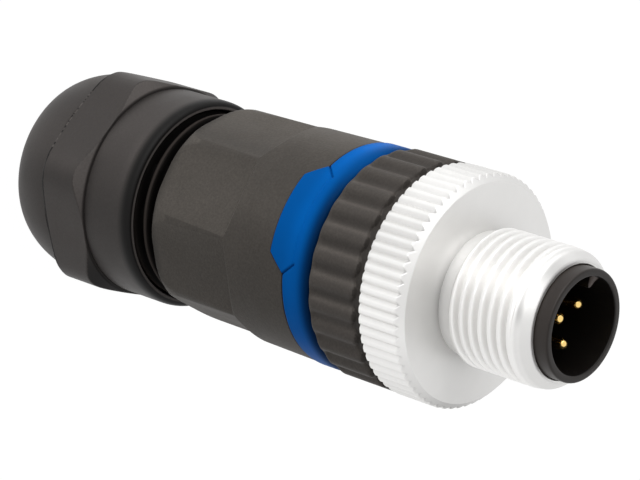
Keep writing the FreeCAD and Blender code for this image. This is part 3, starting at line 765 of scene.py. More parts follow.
@dataclass
class GlandNut(Piece):
    """The domed nut that closes the cable entry.

    From the rear: the dome grows from its foot to its full radius, a fine line
    parts it from the hexagon with its flats and corners, and the collar ends
    in a rounded lip. Inside, the bore for the clamp cage narrows over a cone
    to the cable entry. Tones and streaks paint light and shade on what they
    are named after: painted highlights on the ticks, near the lip and in the
    bore's mouth, painted shade in the line, the nick, the collar's root and
    at its front edge, and streaks of painted light and shade round the axis.
    """

    name = "gland_nut_skin"
    finish = Finishes.NUT
    body = "nut"
    slot = "nut_plastic"
    solid = "gland_nut"

    foot: float = 7.0
    dome: float = 9.78
    dome_length: float = 6.15
    dome_steps: int = 26
    line_length: float = 0.13
    line_depth: float = 0.10
    tick_height: float = 0.07
    flat: float = 9.85
    corner: float = 10.75
    corner_angle: float = 45.0
    corner_reach: float = 0.12
    corner_blend: float = 0.22
    chamfer_blend: float = 0.035
    hex_end: float = 11.2
    rear_bevel: float = 0.3
    front_bevel: float = 0.8
    face_step: float = 0.1
    groove: float = 0.04
    collar: float = 9.65
    length: float = 16.9
    bore: float = 8.68
    mouth: float = 0.35
    bore_end: float = 6.6
    cone: float = 7.3
    cone_end: float = 5.2
    entry: float = 4.3
    entry_bevel: float = 1.1
    entry_end: float = 2.0
    tick_stretches: tuple[tuple[float, float, float, float], ...] = ((-102, 14, 26, 0.55), (80, 20, 40, 0.5))
    tick_seeds: tuple[int, int] = (11, 5)
    # Painted light and shade: tones and streaks by angle and height for painted highlights and painted shade
    # on the nut.
    line_tone: float = -0.5
    tick_tone: float = 2.2
    nick_tone: float = -0.1
    lip_tone: float = -0.65
    mouth_tone: float = 1.8
    chamfer_streaks: Streaks = ((-75, 28, 0.8), (-12, 28, -1.1), (-135, 28, 0.9))
    dome_streaks: Streaks = ((-145, 14, 0.25), (-117, 10, -0.15), (-90, 12, 0.2), (-67, 10, -0.15))
    flat_streaks: Streaks = ((-150, 12, 0.35), (-80, 5, 0.2), (-71, 5, -0.2), (-45, 22, 0.32))
    collar_streaks: Streaks = ((-110, 25, 0.26), (-58, 16, -0.2))
    root_streaks: Streaks = ((-125, 25, 0.6), (-95, 10, -0.5))
    root_tone: float = 0.3
    root_width: float = 0.6
    glow_streaks: Streaks = ((-95, 15, 0.35),)
    glow_width: float = 0.45
    columns: int = 480

    @property
    def line_start(self) -> float:
        """Height where the fine line between dome and hexagon starts."""
        return self.dome_length - self.line_length

    @property
    def reach(self) -> float:
        """Radius that the corners would have without the soft change-over."""
        return self.corner + self.corner_reach

    def section(self) -> Section:
        """List the corners of the turned outline, from the entry over the outside to the bore."""
        section = Section(self.columns)
        section.corner(self.entry + self.entry_bevel, 0.0, 0.25, run=3)
        section.corner(self.foot, 0.0)
        for turn in np.linspace(0.0, math.pi / 2, self.dome_steps)[1:-1]:
            section.corner(self.foot + (self.dome - self.foot) * math.sin(turn),
                           self.dome_length * (1.0 - math.cos(turn)))
        section.corner(self.dome, self.line_start, 0.01)
        section.corner(self.dome - self.line_depth, self.line_start + 0.03)
        section.corner(self.dome - self.line_depth, self.dome_length)
        section.corner(self.flat - 0.02, self.dome_length + 0.03, 0.02, run=10)
        section.corner(self.reach, self.dome_length + self.rear_bevel, 0.35, run=16)
        section.corner(self.reach, self.hex_end - self.front_bevel, 0.10, run=14)
        section.corner(self.flat + self.face_step, self.hex_end, 0.06, run=2)
        section.corner(self.collar - self.groove, self.hex_end + 0.02)
        section.corner(self.collar - self.groove, self.hex_end + 0.07)
        section.corner(self.collar, self.hex_end + 0.14, 0.05, run=12)
        section.corner(self.collar, self.length, 1.0, 0.45, run=2)
        section.corner(self.bore + 0.22, self.length, 0.05)
        section.corner(self.bore + 0.10, self.length - self.mouth, 0.05, run=16)
        section.corner(self.bore, self.bore_end, run=4)
        section.corner(self.cone, self.bore_end - 0.1, run=3)
        section.corner(self.cone, self.cone_end, run=4)
        section.corner(self.entry + 0.6, self.entry_end, run=2)
        section.corner(self.entry, self.entry_end, run=2)
        section.corner(self.entry, self.entry_bevel, 0.3, run=3)
        return section

    def skin(self) -> tuple[Skin, Array]:
        """Work out the nut's skin.

        Formula: the section is turned, and between the dome and the collar the
        radius is the rounded smaller one of the turned radius and of a
        hexagon, flat / cos(angle from the middle of the flat). The ticks stand
        in the line between dome and hexagon.

        Returns:
            The skin, and its painted light and shade.
        """
        angle = even_angles(self.columns)
        radius, height = self.section().trace(arc=7)
        away = repeat_share(angle, 6, self.corner_angle + 30.0) * 60.0
        hexagon = soft_min(self.flat / np.cos(np.radians(away)), self.reach, self.corner_blend)[None, :]
        outer = (height > self.dome_length + 0.02) & (height < self.hex_end + 0.02)
        outer = outer & (radius > self.flat - 0.03)
        shaped = np.where(outer, soft_min(radius, hexagon, self.chamfer_blend), radius)
        chamfer = outer & (height > self.hex_end - self.front_bevel - 0.05) & (shaped < hexagon - 0.06)
        edge = self.dome_length + (hexagon - self.flat) / (self.corner - self.flat) * self.rear_bevel
        line = (radius > self.dome - 0.2) & (height > self.line_start + 0.02) & (height < edge + 0.2)
        tick = self.ticks(angle)[None, :]
        shaped = np.where(line & (height < self.dome_length + 0.05), shaped + self.tick_height * tick, shaped)
        # Painted light and shade: streaks on the chamfer, dome and flats, painted shade in the line and a
        # painted highlight on each tick.
        painted_light = np.where(chamfer, PLAIN + streak_tone(angle, self.chamfer_streaks)[None, :], PLAIN)
        painted_light = np.where(line, self.line_tone + self.tick_tone * tick, painted_light)
        domed = (radius > self.foot) & (height < self.line_start)
        painted_light = toned(painted_light, domed, streak_tone(angle, self.dome_streaks))
        painted_light = toned(painted_light, outer & ~chamfer & ~line, streak_tone(angle, self.flat_streaks))
        return Skin(shaped, height, angle), self.collar_painted_light(radius, height, angle, painted_light)

    def collar_painted_light(self, radius: Array, height: Array, angle: Array, painted_light: Array) -> Array:
        """Paint light and shade on the collar, its root beside the hexagon, its lip and the mouth of the
        bore.

        Formula: root and lip add streaks x bell(height from them, width),
        painted shade at the root and a painted highlight near the lip; the nick
        at the root gets painted shade and the bore's mouth a painted highlight,
        one tone each, and towards the front the painted light changes over to
        the lip's painted shade.

        Args:
            radius: Turned radius of each point.
            height: Height of each point.
            angle: Angle of each column, in radians.
            painted_light: The painted light and shade of the rest of the nut.

        Returns:
            The painted light and shade of the whole nut.
        """
        # Painted shade at the collar's root, a painted highlight near its front, painted shade in the nick
        # and at the lip, a painted highlight in the bore's mouth.
        root = streak_tone(angle, self.root_streaks, self.root_tone)
        root = root * bell(height - self.hex_end - 0.1, self.root_width)
        glow = streak_tone(angle, self.glow_streaks) * bell(height - self.length + 1.4, self.glow_width)
        tone = streak_tone(angle, self.collar_streaks) + glow - root
        front = radius > self.bore + 0.4
        painted_light = toned(painted_light, front & (height > self.hex_end + 0.08), tone)
        nick = (radius < self.flat) & (radius > self.collar - 0.1)
        nick = nick & (np.abs(height - self.hex_end - 0.03) < 0.09)
        painted_light = np.where(nick, self.nick_tone, painted_light)
        fall = smooth_step(height, self.length - 1.5, self.length - 0.5) * front
        painted_light = painted_light - (painted_light - self.lip_tone) * fall
        return np.where(~front & (height > self.length - 0.2), self.mouth_tone, painted_light)

    def ticks(self, angle: Array) -> Array:
        """Give the small uneven remains of the mould's edge in the line round the dome.

        Formula: a tick stands where a random number is below the share of its
        stretch, and is half to fully high; each stretch's share is whole up to
        its first half width and falls to 0 at its second one.

        Args:
            angle: The angles of the columns, in radians.

        Returns:
            A value from 0 to 1 for each column.
        """
        chance, rise = (np.random.default_rng(seed).random(len(angle)) for seed in self.tick_seeds)
        share = sum(full * (1.0 - smooth_step(np.abs(off_centre(angle, place)), near, far))
                    for place, near, far, full in self.tick_stretches)
        return (chance < share).astype(float) * (0.5 + 0.5 * rise)


@dataclass
class HousingNeck(Piece):
    """The threaded neck of the housing that the gland nut turns on.

    A crest passes the flag's side at crest height. The thread grows in over
    thread fade, measured from the start, and runs out over thread end. Flank
    says between which shares of the pitch the thread falls. The bore narrows
    to the passage.
    """

    name = "housing_neck"
    # The neck's finish is painted shade, far darker than the body's plastic.
    finish = Finishes.NECK
    body = "housing"
    slot = "body_plastic"
    solid = "housing"

    start: float = 7.8
    end: float = 20.5
    crest: float = 8.6
    root: float = 7.9
    pitch: float = 1.5
    crest_height: float = 17.9
    flank: tuple[float, float] = (0.12, 0.40)
    thread_fade: tuple[float, float] = (0.5, 1.6)
    thread_end: tuple[float, float] = (18.5, 19.0)
    bore: float = 6.9
    bore_end: float = 17.0
    passage: float = 5.5
    passage_start: float = 17.8
    # Painted highlight along each crest, and painted shade in the bore.
    line_tone: float = 10.0
    line_width: float = 0.11
    inner_tone: float = 0.3
    columns: int = 216

    def skin(self) -> tuple[Skin, Array]:
        """Work out the neck's skin.

        Formula: the radius falls from crest to root with the distance from a
        helix of the given pitch, and the thread fades out at both ends. The
        painted light adds line tone x bell(share of the pitch from the crest),
        so that each crest shows as a thin painted highlight, and the bore gets
        painted shade.

        Returns:
            The skin, and its painted light and shade.
        """
        angle = even_angles(self.columns)
        section = Section(self.columns)
        section.corner(self.bore, self.start, 0.15, run=3)
        section.corner(self.crest, self.start, 0.3, run=100)
        section.corner(self.crest, self.end, run=3)
        section.corner(self.passage, self.end, run=4)
        section.corner(self.passage, self.passage_start, run=3)
        section.corner(self.bore, self.bore_end, run=8)
        radius, height = section.trace()
        share = helix_share(angle, height, self.crest_height, self.pitch)
        first, last = self.thread_fade
        fade = smooth_step(height, self.start + first, self.start + last)
        fade = fade * (1 - smooth_step(height, *self.thread_end))
        cut = (self.crest - self.root) * np.maximum(smooth_step(np.abs(share), *self.flank), 1 - fade)
        outer = radius > self.bore + 0.6
        line = self.line_tone * (bell(share, self.line_width) * fade)
        painted_light = np.where(outer, PLAIN + line, self.inner_tone)
        return Skin(np.where(outer, radius - cut, radius), height, angle), painted_light


# Housing and marking ring

@dataclass
class Flag:
    """The flag of the marking ring.

    Its edge lies at rear within rear angle of the middle and comes forward to
    the root at front angle. The gap is left round it in the housing's recess.
    """

    rear: float = 34.6
    root: float = 36.2
    rear_angle: float = 21.0
    front_angle: float = 30.0
    outer: float = 10.0
    thickness: float = 0.75
    gap: float = 0.12

    def rear_edge(self, angle: Array, grow: float = 0.0) -> Array:
        """Give the height of the flag's rear edge at each angle.

        Formula: the outline is straight seen from -Y, so across x = r sin(a)
        the edge is rear within the narrow half width and rises in a straight
        line to the root at the wide half width.

        Args:
            angle: The angles, in radians.
            grow: How far the outline is let out, in millimetres.

        Returns:
            The height of the edge, or the root's height outside the flag.
        """
        away = off_centre(angle, FLAG_CENTRE)
        across = np.abs(self.outer * np.sin(np.radians(np.clip(away, -80.0, 80.0))))
        narrow = self.outer * math.sin(math.radians(self.rear_angle)) + grow * 0.5
        wide = self.outer * math.sin(math.radians(self.front_angle)) + grow
        share = np.clip((across - narrow) / (wide - narrow), 0.0, 1.0)
        low = self.rear - grow
        return low + (self.root - low) * share


@dataclass
class HousingBody(Piece):
    """The grained body of the housing, with eight flats and the recess for the flag.

    Its rear is rounded over rear width and rear length, and flat is the
    distance of the flats from the axis. The lip in front carries the marking
    ring. Inside follow the bore for the spigot's thread, the room behind it
    and the passage towards the neck. The bands give how far round an edge the
    columns are closer, and their step.
    """

    name = "housing_shell"
    finish = Finishes.BODY
    body = "housing"
    slot = "body_plastic"
    solid = "housing"
    sharp = 24.0

    flag: Flag
    rear: float = 19.5
    rear_radius: float = 9.68
    front_radius: float = 9.92
    rear_width: float = 0.8
    rear_length: float = 1.9
    front: float = 36.1
    recess_gap: float = 0.1
    flat: float = 9.1
    flats_end: float = 28.8
    flats: int = 8
    flat_blend: float = 0.02
    outside: float = 9.0
    lip: float = 8.71
    lip_end: float = 37.7
    thread_bore: float = 8.26
    thread_start: float = 31.6
    room: float = 7.7
    room_start: float = 22.4
    passage: float = 5.4
    passage_end: float = 21.2
    # Painted light and shade: a painted sheen on the rear rounding, streaks on the flats and the round part,
    # raised places lighter, painted shade at the rear edge and in the recess.
    inner_tone: float = 0.51
    raised_tone: float = 0.06
    raised_radius: float = 9.3
    rear_sheen_tone: float = 0.02
    rear_sheen_streaks: Streaks = ((-138, 18, 1.0),)
    flat_tone: float = -0.12
    flat_streaks: Streaks = ((-152, 20, 0.45), (-119, 9, -0.2), (-88, 24, 0.25))
    round_tone: float = -0.25
    round_streaks: Streaks = ((-150, 20, 0.6), (-90, 11, 0.22))
    rear_tone: float = -0.5
    rear_tone_width: float = 0.45
    recess_tone: float = 0.2
    slant_band: tuple[float, float] = (6.5, 0.25)
    facet_band: tuple[float, float, float] = (2.4, 0.4, 2.5)
    columns: int = 360

    def angles(self) -> Array:
        """Give the columns: closer at the slanted edges of the flag and beside the flats' edges."""
        slant = (self.flag.rear_angle + self.flag.front_angle) / 2
        slants = [FLAG_CENTRE - slant, FLAG_CENTRE + slant]
        base = np.degrees(finer_angles(self.columns, slants, *self.slant_band))
        turn = 360.0 / self.flats
        for number in range(2, self.flats - 1):
            base = with_band(base, FLAG_CENTRE + turn / 2 + turn * number, *self.facet_band)
        return np.radians(np.sort(base))

    def skin(self) -> tuple[Skin, Array]:
        """Work out the body's skin.

        Formula: the turned radius grows in a straight line from rear to front;
        over the flats it is the rounded smaller one of that and of
        flat / cos(angle from the middle of the flat), and past their end the
        flats rise at 45 degrees. The outer skin ends at the flag's outline,
        let out by the gap, and steps down to the floor of the recess.

        Returns:
            The skin, and its painted light and shade.
        """
        angle = self.angles()
        edge = np.minimum(self.flag.rear_edge(angle, self.flag.gap), self.front - 0.02)
        floor = self.flag.outer - self.flag.thickness - self.recess_gap
        section = Section(len(angle))
        section.corner(self.passage, self.rear + 0.05, run=4)
        section.corner(self.rear_radius, self.rear, self.rear_width, self.rear_length, run=24)
        section.corner(self.rear_radius + 0.12, self.flats_end - 0.3, run=26)
        section.corner(self.rear_radius + 0.14, self.flats_end + 1.0, run=18)
        section.corner(self.front_radius, edge, 0.06, run=3)
        section.corner(floor, edge, run=3)
        section.corner(floor, self.front, run=2)
        section.corner(self.lip, self.front, run=3)
        section.corner(self.lip, self.lip_end, 0.1, run=1)
        section.corner(self.thread_bore, self.lip_end, 0.1, run=10)
        section.corner(self.thread_bore, self.thread_start, run=2)
        section.corner(self.room, self.thread_start, run=12)
        section.corner(self.room, self.room_start, run=4)
        section.corner(self.passage, self.passage_end, run=2)
        radius, height = section.trace(arc=9)
        away = repeat_share(angle, self.flats, FLAG_CENTRE) * 360.0 / self.flats
        half = self.flat + np.maximum(height - self.flats_end, 0.0)
        facet = half / np.cos(np.radians(away))[None, :]
        outer = (radius > self.outside) & (height < self.flats_end + 2.0) & (height < edge[None, :] - 1.0)
        shaped = np.where(outer, soft_min(radius, facet, self.flat_blend), radius)
        painted_light = self.painted_light(angle, radius, height, shaped, facet, outer)
        # Painted shade on the floor of the recess.
        painted_light = np.where((radius < floor + 0.4) & (height > self.flats_end + 1.2), self.recess_tone, painted_light)
        return Skin(shaped, height, angle), painted_light

    def painted_light(self, angle: Array, radius: Array, height: Array, shaped: Array, facet: Array,
               outer: Array) -> Array:
        """Paint light and shade on the rear rounding, the flats and the round part between and before them.

        Formula: each of the three adds its own streaks of painted light and
        shade, the rear rounding a painted sheen, the outside adds raised tone x
        twice the radius above raised radius, kept within -1 to 1, as painted
        light on raised places, and the rear edge adds rear tone x bell(height
        from it) as painted shade.

        Args:
            angle: Angle of each column, in radians.
            radius: Turned radius of each point.
            height: Height of each point.
            shaped: Final radius of each point.
            facet: Radius of the flats' planes at each point.
            outer: Where the flats may cut the skin.

        Returns:
            The painted light and shade of each point.
        """
        raised = np.clip((shaped - self.raised_radius) * 2.0, -1.0, 1.0)
        painted_light = np.where(outer, PLAIN + self.raised_tone * raised, self.inner_tone)
        # The rear rounding gets a streak of painted sheen.
        rear_sheen = outer & (height < self.rear + self.rear_length + 0.1) & (radius < facet - 0.01)
        cut = outer & ~rear_sheen & (radius > facet)
        turned = (radius > self.raised_radius) & (height > self.rear + 1.0) & ~cut & ~rear_sheen
        painted_light = toned(painted_light, rear_sheen, streak_tone(angle, self.rear_sheen_streaks, self.rear_sheen_tone))
        painted_light = toned(painted_light, cut, streak_tone(angle, self.flat_streaks, self.flat_tone))
        painted_light = toned(painted_light, turned, streak_tone(angle, self.round_streaks, self.round_tone))
        # Painted shade along the rear edge.
        rear = bell(height - self.rear - 0.15, self.rear_tone_width) * (radius > 8.0)
        return painted_light + self.rear_tone * rear


@dataclass
class MarkingRing(Piece):
    """The blue ring with its flag and the small creases beside it.

    The pad is the flag's raised field, which ends at pad front and spans pad
    angle there on both sides. In front the ring is rounded over front width
    and front length, and its crown lies just before that. The columns are
    closer in a band round side angle, on both sides of the flag.
    """

    name = "marking_ring"
    finish = Finishes.BLUE
    body = "housing"
    slot = "blue_plastic"
    solid = "colour_ring"
    sharp = 50.0

    flag: Flag
    start: float = 36.2
    end: float = 39.0
    outer: float = 10.0
    bore: float = 8.81
    rounding: float = 0.2
    flag_rounding: float = 0.14
    front_width: float = 0.5
    front_length: float = 1.2
    pad_front: float = 37.28
    pad_angle: float = 24.0
    pad_height: float = 0.06
    pad_border: float = 0.05
    crease_depth: float = 0.16
    crease_width: float = 0.08
    # Painted light and shade: painted shade in the creases and towards the grip, a painted highlight along
    # the crown.
    crease_tone: float = -3.0
    crown_tone: float = 0.14
    crown_streaks: Streaks = ((-150, 14, 0.5), (-132, 20, 0.25), (-88, 10, 0.1))
    crown_width: float = 0.8
    front_tone: float = -0.9
    front_streaks: Streaks = ((-135, 25, 0.65),)
    side_angle: float = 26.0
    side_band: tuple[float, float] = (8.0, 0.2)
    columns: int = 300

    def pad(self, angle: Array, height: Array) -> tuple[Array, Array]:
        """Give the flag's raised field and the creases at its front corners.

        Formula: the field ends at pad_front, and its sides run in straight
        lines from the notches to pad_angle; its share rises from 0 to 1 over
        pad_border on both sides of its outline. A crease is its depth x
        bell(three quarters of the distance to the side, crease width).

        Args:
            angle: Angle of each point, in radians.
            height: Height of each point.

        Returns:
            The height of the field and the depth of the creases, in millimetres.
        """
        away = np.abs(off_centre(angle, FLAG_CENTRE))
        share = np.clip((height - self.start) / (self.pad_front + 0.1 - self.start), 0.0, 1.0)
        limit = self.flag.front_angle + (self.pad_angle - self.flag.front_angle) * share
        side = self.outer * np.radians(limit - away)
        inside = np.minimum(side, self.pad_front - height)
        window = smooth_step(height, self.start - 0.06, self.start + 0.04)
        window = window * (1.0 - smooth_step(height, self.pad_front + 0.02, self.pad_front + 0.25))
        crease = self.crease_depth * bell(0.75 * side, self.crease_width) * window
        return self.pad_height * smooth_step(inside, -self.pad_border, self.pad_border), crease

    def skin(self) -> tuple[Skin, Array]:
        """Work out the ring's skin.

        Formula: a turned section whose rear edge follows the flag's outline,
        with a small rounding behind and a long one towards the grip, and the
        raised field with its creases added on the outside. The painted light
        has a painted highlight along the crown and painted shade in the
        creases and towards the grip.

        Returns:
            The skin, and its painted light and shade.
        """
        sides = [FLAG_CENTRE - self.side_angle, FLAG_CENTRE + self.side_angle]
        angle = finer_angles(self.columns, sides, *self.side_band)
        edge = self.flag.rear_edge(angle)
        share = smooth_step(self.flag.root - edge, 0.0, 0.9)
        rear_round = self.rounding * (1 - share) + self.flag_rounding * share
        under = self.outer - self.flag.thickness
        section = Section(len(angle))
        section.corner(self.bore, self.start, 0.08, run=2)
        section.corner(under, self.start - 0.005, run=3)
        section.corner(under, edge - 0.01, run=3)
        section.corner(self.outer, edge - 0.01, rear_round, run=30)
        section.corner(self.outer, self.pad_front - 0.1, run=10)
        section.corner(self.outer, self.pad_front + 0.12, run=5)
        section.corner(self.outer, self.end, self.front_length, self.front_width, run=3)
        section.corner(self.bore, self.end, 0.08, run=5)
        radius, height = section.trace(arc=10)
        turn = np.broadcast_to(angle, radius.shape)
        rise, sink = (np.where(radius > self.outer - 0.12, part, 0.0) for part in self.pad(turn, height))
        # Painted highlight along the crown, painted shade in the creases and towards the grip.
        crown = streak_tone(angle, self.crown_streaks, self.crown_tone)
        crown = crown * bell(height - self.pad_front + 0.3, self.crown_width)
        front = smooth_step(height, self.pad_front + 0.4, self.end - 0.1) * (radius > self.bore + 0.1)
        front = front * streak_tone(angle, self.front_streaks, self.front_tone)
        return Skin(radius + rise - sink, height, angle), PLAIN + crown + self.crease_tone * sink + front


# Grip, coupling screw and contact carrier

@dataclass
class GripRing(Piece):
    """The ribbed ring in front of the marking ring, with its threaded spigot.

    The ribs stand on the core, as high as the crest, and end in small arcs at
    the smooth collar. The spigot reaches back into the housing, its bore ends
    at the wall, and the carrier's bore goes on through that. The ribs grow
    from their rear share to full depth over rib growth, and keep the painted
    highlights on their lit flanks and the painted shade in their dips within
    the lit side: its middle and where it starts and ends to fade. The gap
    behind the ribs and the inside get painted shade.
    """

    name = "grip_ring"
    finish = Finishes.GRIP
    body = "front"
    slot = "body_plastic"
    solid = "grip_body"

    start: float = 39.1
    end: float = 44.9
    crest: float = 10.18
    rear_gap: float = 0.12
    rear_round: float = 0.55
    core: float = 9.46
    rib_depth: float = 0.42
    rib_power: float = 1.3
    ribs: int = 29
    rib_end: float = 44.2
    rib_rear_share: float = 0.16
    rib_growth: tuple[float, float] = (0.15, 0.75)
    scallop: float = 0.35
    collar: float = 9.6
    seat: float = 7.4
    seat_start: float = 37.6
    spigot: float = 8.2
    spigot_rear: float = 32.4
    spigot_bore: float = 6.6
    thread_depth: float = 0.35
    thread_crest: float = 32.9
    thread_start: float = 33.0
    thread_end: float = 37.2
    carrier_bore: float = 4.0
    wall_rear: float = 41.5
    # Painted light and shade of the ribs, the gap and the inside.
    flank_tone: float = 0.6
    flank_place: float = -0.30
    flank_width: float = 0.10
    dip_tone: float = -0.25
    lit_side: tuple[float, float, float] = (-100.0, 45.0, 65.0)
    lit_loss: float = 0.85
    gap_tone: float = 0.0
    inner_tone: float = 0.1
    per_rib: int = 20

    def skin(self) -> tuple[Skin, Array]:
        """Work out the ring's skin.

        Formula: across a rib with share s from -0.5 to 0.5 the radius is
        crest - depth w, with w = (0.5 - 0.5 cos(2 pi s))^1.3, and the front
        end of the rib lies at end - scallop w, so that the ends form small
        arcs. The spigot's thread is a cosine of 1 mm pitch. The painted light
        adds flank tone x bell(s from the lit flank), a painted highlight, and
        dip tone x w, painted shade, both weaker away from the flag's side; the
        gap behind the ribs and the inside get painted shade.

        Returns:
            The skin, and its painted light and shade.
        """
        angle = even_angles(self.ribs * self.per_rib)
        share = repeat_share(angle, self.ribs, 0.0)
        dip = (0.5 - 0.5 * np.cos(2.0 * math.pi * share)) ** self.rib_power
        front = self.rib_end - self.scallop * dip
        core = self.spigot - self.thread_depth
        section = Section(len(angle))
        section.corner(self.seat, self.start, run=4)
        section.corner(self.core, self.start, 0.04, run=2)
        section.corner(self.core, self.start + self.rear_gap, run=2)
        section.corner(self.crest, self.start + self.rear_gap, self.rear_round, run=16)
        section.corner(self.crest, front, 0.30, 0.16, run=2)
        section.corner(self.collar, front + 0.16, 0.05, run=3)
        section.corner(self.collar, self.end, 0.12, run=4)
        section.corner(self.carrier_bore, self.end, run=4)
        section.corner(self.carrier_bore, self.wall_rear, run=3)
        section.corner(self.spigot_bore, self.wall_rear, run=8)
        section.corner(self.spigot_bore, self.spigot_rear, run=2)
        section.corner(core, self.spigot_rear, 0.1, run=40)
        section.corner(core, self.seat_start, run=1)
        section.corner(self.seat, self.seat_start, run=2)
        radius, height = section.trace()
        band = (radius > self.collar + 0.02) & (height < self.rib_end)
        first, last = self.rib_growth
        grown = smooth_step(height, self.start + first, self.start + last)
        grown = self.rib_rear_share + (1.0 - self.rib_rear_share) * grown
        ribbed = np.maximum(radius - self.rib_depth * dip[None, :] * grown, self.collar)
        shaped = np.where(band, ribbed, radius)
        thread = (height > self.thread_start) & (height < self.thread_end) & (np.abs(radius - core) < 0.01)
        turn = 2 * math.pi * (height - self.thread_crest) - angle[None, :]
        shaped = np.where(thread, shaped + self.thread_depth / 2 * (1 + np.cos(turn)), shaped)
        # Painted highlight on each rib's lit flank and painted shade in its dips, weaker away from the lit
        # side; painted shade in the gap and inside.
        lit = self.flank_tone * bell(share - self.flank_place, self.flank_width) + self.dip_tone * dip
        middle, near, far = self.lit_side
        weight = 1.0 - self.lit_loss * smooth_step(np.abs(off_centre(angle, middle)), near, far)
        painted_light = np.where(band, PLAIN + (lit * weight)[None, :] * grown, self.inner_tone)
        return Skin(shaped, height, angle), np.where(height < self.start + 0.2, self.gap_tone, painted_light)


@dataclass
class CouplingScrew(Piece):
    """The knurled flange and the threaded sleeve of the coupling screw.

    The flange has V grooves between narrow lands and a bevel of edge width and
    edge length in front. The sleeve goes on with the undercut neck, the thread
    and the smooth tip with its own bevel. Its bore narrows to the ledge. Tooth
    columns are the shares of a tooth, on both sides of its crest, where it
    has points.
    """

    finish = Finishes.PLATED
    body = "screw"
    slot = "plated_metal"
    solid = "coupling_screw"
    sharp = 30.0

    rear: float = 45.0
    face: float = 49.6
    outer: float = 10.2
    hub: float = 5.0
    tooth_depth: float = 0.33
    tooth_land: float = 0.24
    tooth_blend: float = 0.012
    tooth_columns: tuple[float, ...] = (0.10, 0.14, 0.22, 0.30, 0.38, 0.46)
    teeth: int = 67
    edge_width: float = 0.63
    edge_length: float = 0.65
    neck: float = 5.38
    neck_start: float = 45.4
    neck_end: float = 50.75
    thread: float = 6.0
    thread_depth: float = 0.6
    pitch: float = 1.0
    first_crest: float = 51.28
    land: float = 0.22
    flank_end: float = 0.46
    thread_end: float = 57.7
    end: float = 59.2
    tip: float = 5.9
    tip_bevel: float = 0.62
    tip_bevel_length: float = 0.75
    bore: float = 4.88
    ledge_bore: float = 4.06
    ledge_end: float = 51.6
    # Painted light and shade: streaks on knurl, bevel, face, thread, tip and front edge, the neck's painted
    # shadow on the face, painted shade at the sleeve's root, and the rear face a little painted light.
    knurl_streaks: Streaks = ((-160, 16, -1.6), (-97, 20, -0.5), (10, 30, -1.2))
    bevel_tone: float = -1.9
    bevel_streaks: Streaks = ((-46, 14, 0.9), (18, 25, -2.4))
    face_tone: float = -0.5
    face_streaks: Streaks = ((20, 30, -1.1),)
    rear_tone: float = 0.6
    neck_shade: float = 4.0
    neck_shade_width: float = 0.8
    neck_tone: float = 0.35
    neck_streaks: Streaks = ((-60, 50, 0.65),)
    root_shade: float = 1.2
    root_tone: float = 0.1
    root_streaks: Streaks = ((-75, 40, 0.9),)
    crest_tone: float = 0.8
    groove_tone: float = 1.2
    thread_streaks: Streaks = ((-96, 14, 0.9),)
    tip_tone: float = -0.9
    tip_streaks: Streaks = ((-108, 22, 0.8), (-75, 9, -2.0))
    edge_tone: float = -1.6
    edge_streaks: Streaks = ((-120, 18, -2.8), (-88, 10, 1.6))
    columns: int = 300

    def flange_skin(self) -> tuple[Skin, Array]:
        """Work out the flange's skin.

        Formula: the turned section, whose front edge is a straight bevel, is
        cut by V grooves; at share s of a tooth the radius is
        outer - depth x (|s| - land / 2) / (0.5 - land / 2) outside the crest,
        and the rounded smaller one of the two gives pointed groove ends. The
        painted light falls into the grooves as painted shade, knurl, bevel and
        face have their own streaks of painted light and shade, and a painted
        shadow of the neck darkens the face towards it.

        Returns:
            The skin, and its painted light and shade.
        """
        flank = np.array(self.tooth_columns)
        steps = np.concatenate([[-0.5], -flank[::-1], flank])
        turns = (np.arange(self.teeth)[:, None] + steps[None, :]).reshape(-1) / self.teeth
        angle = math.radians(SEAM) + turns * 2 * math.pi
        half_land = self.tooth_land / 2
        groove = np.clip((np.abs(np.tile(steps, self.teeth)) - half_land) / (0.5 - half_land), 0.0, 0.95)
        tooth = self.outer + 0.01 - self.tooth_depth * groove
        bevel_start = self.face - self.edge_length
        face_edge = self.outer - self.edge_width
        section = Section(len(angle))
        section.corner(self.hub, self.rear, run=3)
        section.corner(self.outer, self.rear, 0.28, run=14)
        section.corner(self.outer, bevel_start, 0.08, run=14)
        section.corner(face_edge, self.face, 0.05, run=40)
        section.corner(self.hub, self.face, run=3)
        radius, height = section.trace(arc=12)
        rim = radius > self.outer - self.tooth_depth - 0.25
        shaped = np.where(rim, soft_min(radius, tooth[None, :], self.tooth_blend), radius)
        # Streaks of painted light and shade on the bevel and the knurl, and painted shade in the grooves.
        bevel = smooth_step(height, bevel_start - 0.1, bevel_start + 0.15)
        tone = bevel * streak_tone(angle, self.bevel_streaks, self.bevel_tone)
        tone = tone + (1.0 - bevel) * streak_tone(angle, self.knurl_streaks)
        cut = 1.0 - groove[None, :] * smooth_step(radius, self.outer - 0.4, self.outer)
        painted_light = np.where(radius > face_edge - 0.03, cut + tone, self.rear_tone)
        front = (height > self.face - 0.01) & (radius < face_edge)
        painted_light = np.where(front, streak_tone(angle, self.face_streaks, self.face_tone), painted_light)
        # Painted shadow of the neck on the face, strongest round -60 degrees.
        near = np.exp(-np.maximum(radius - self.neck, 0.0) / self.neck_shade_width)
        near = near * (height > self.face - 0.05)
        side = streak_tone(angle, self.neck_streaks, self.neck_tone)
        return Skin(shaped, height, angle), painted_light - self.neck_shade * near * side[None, :]

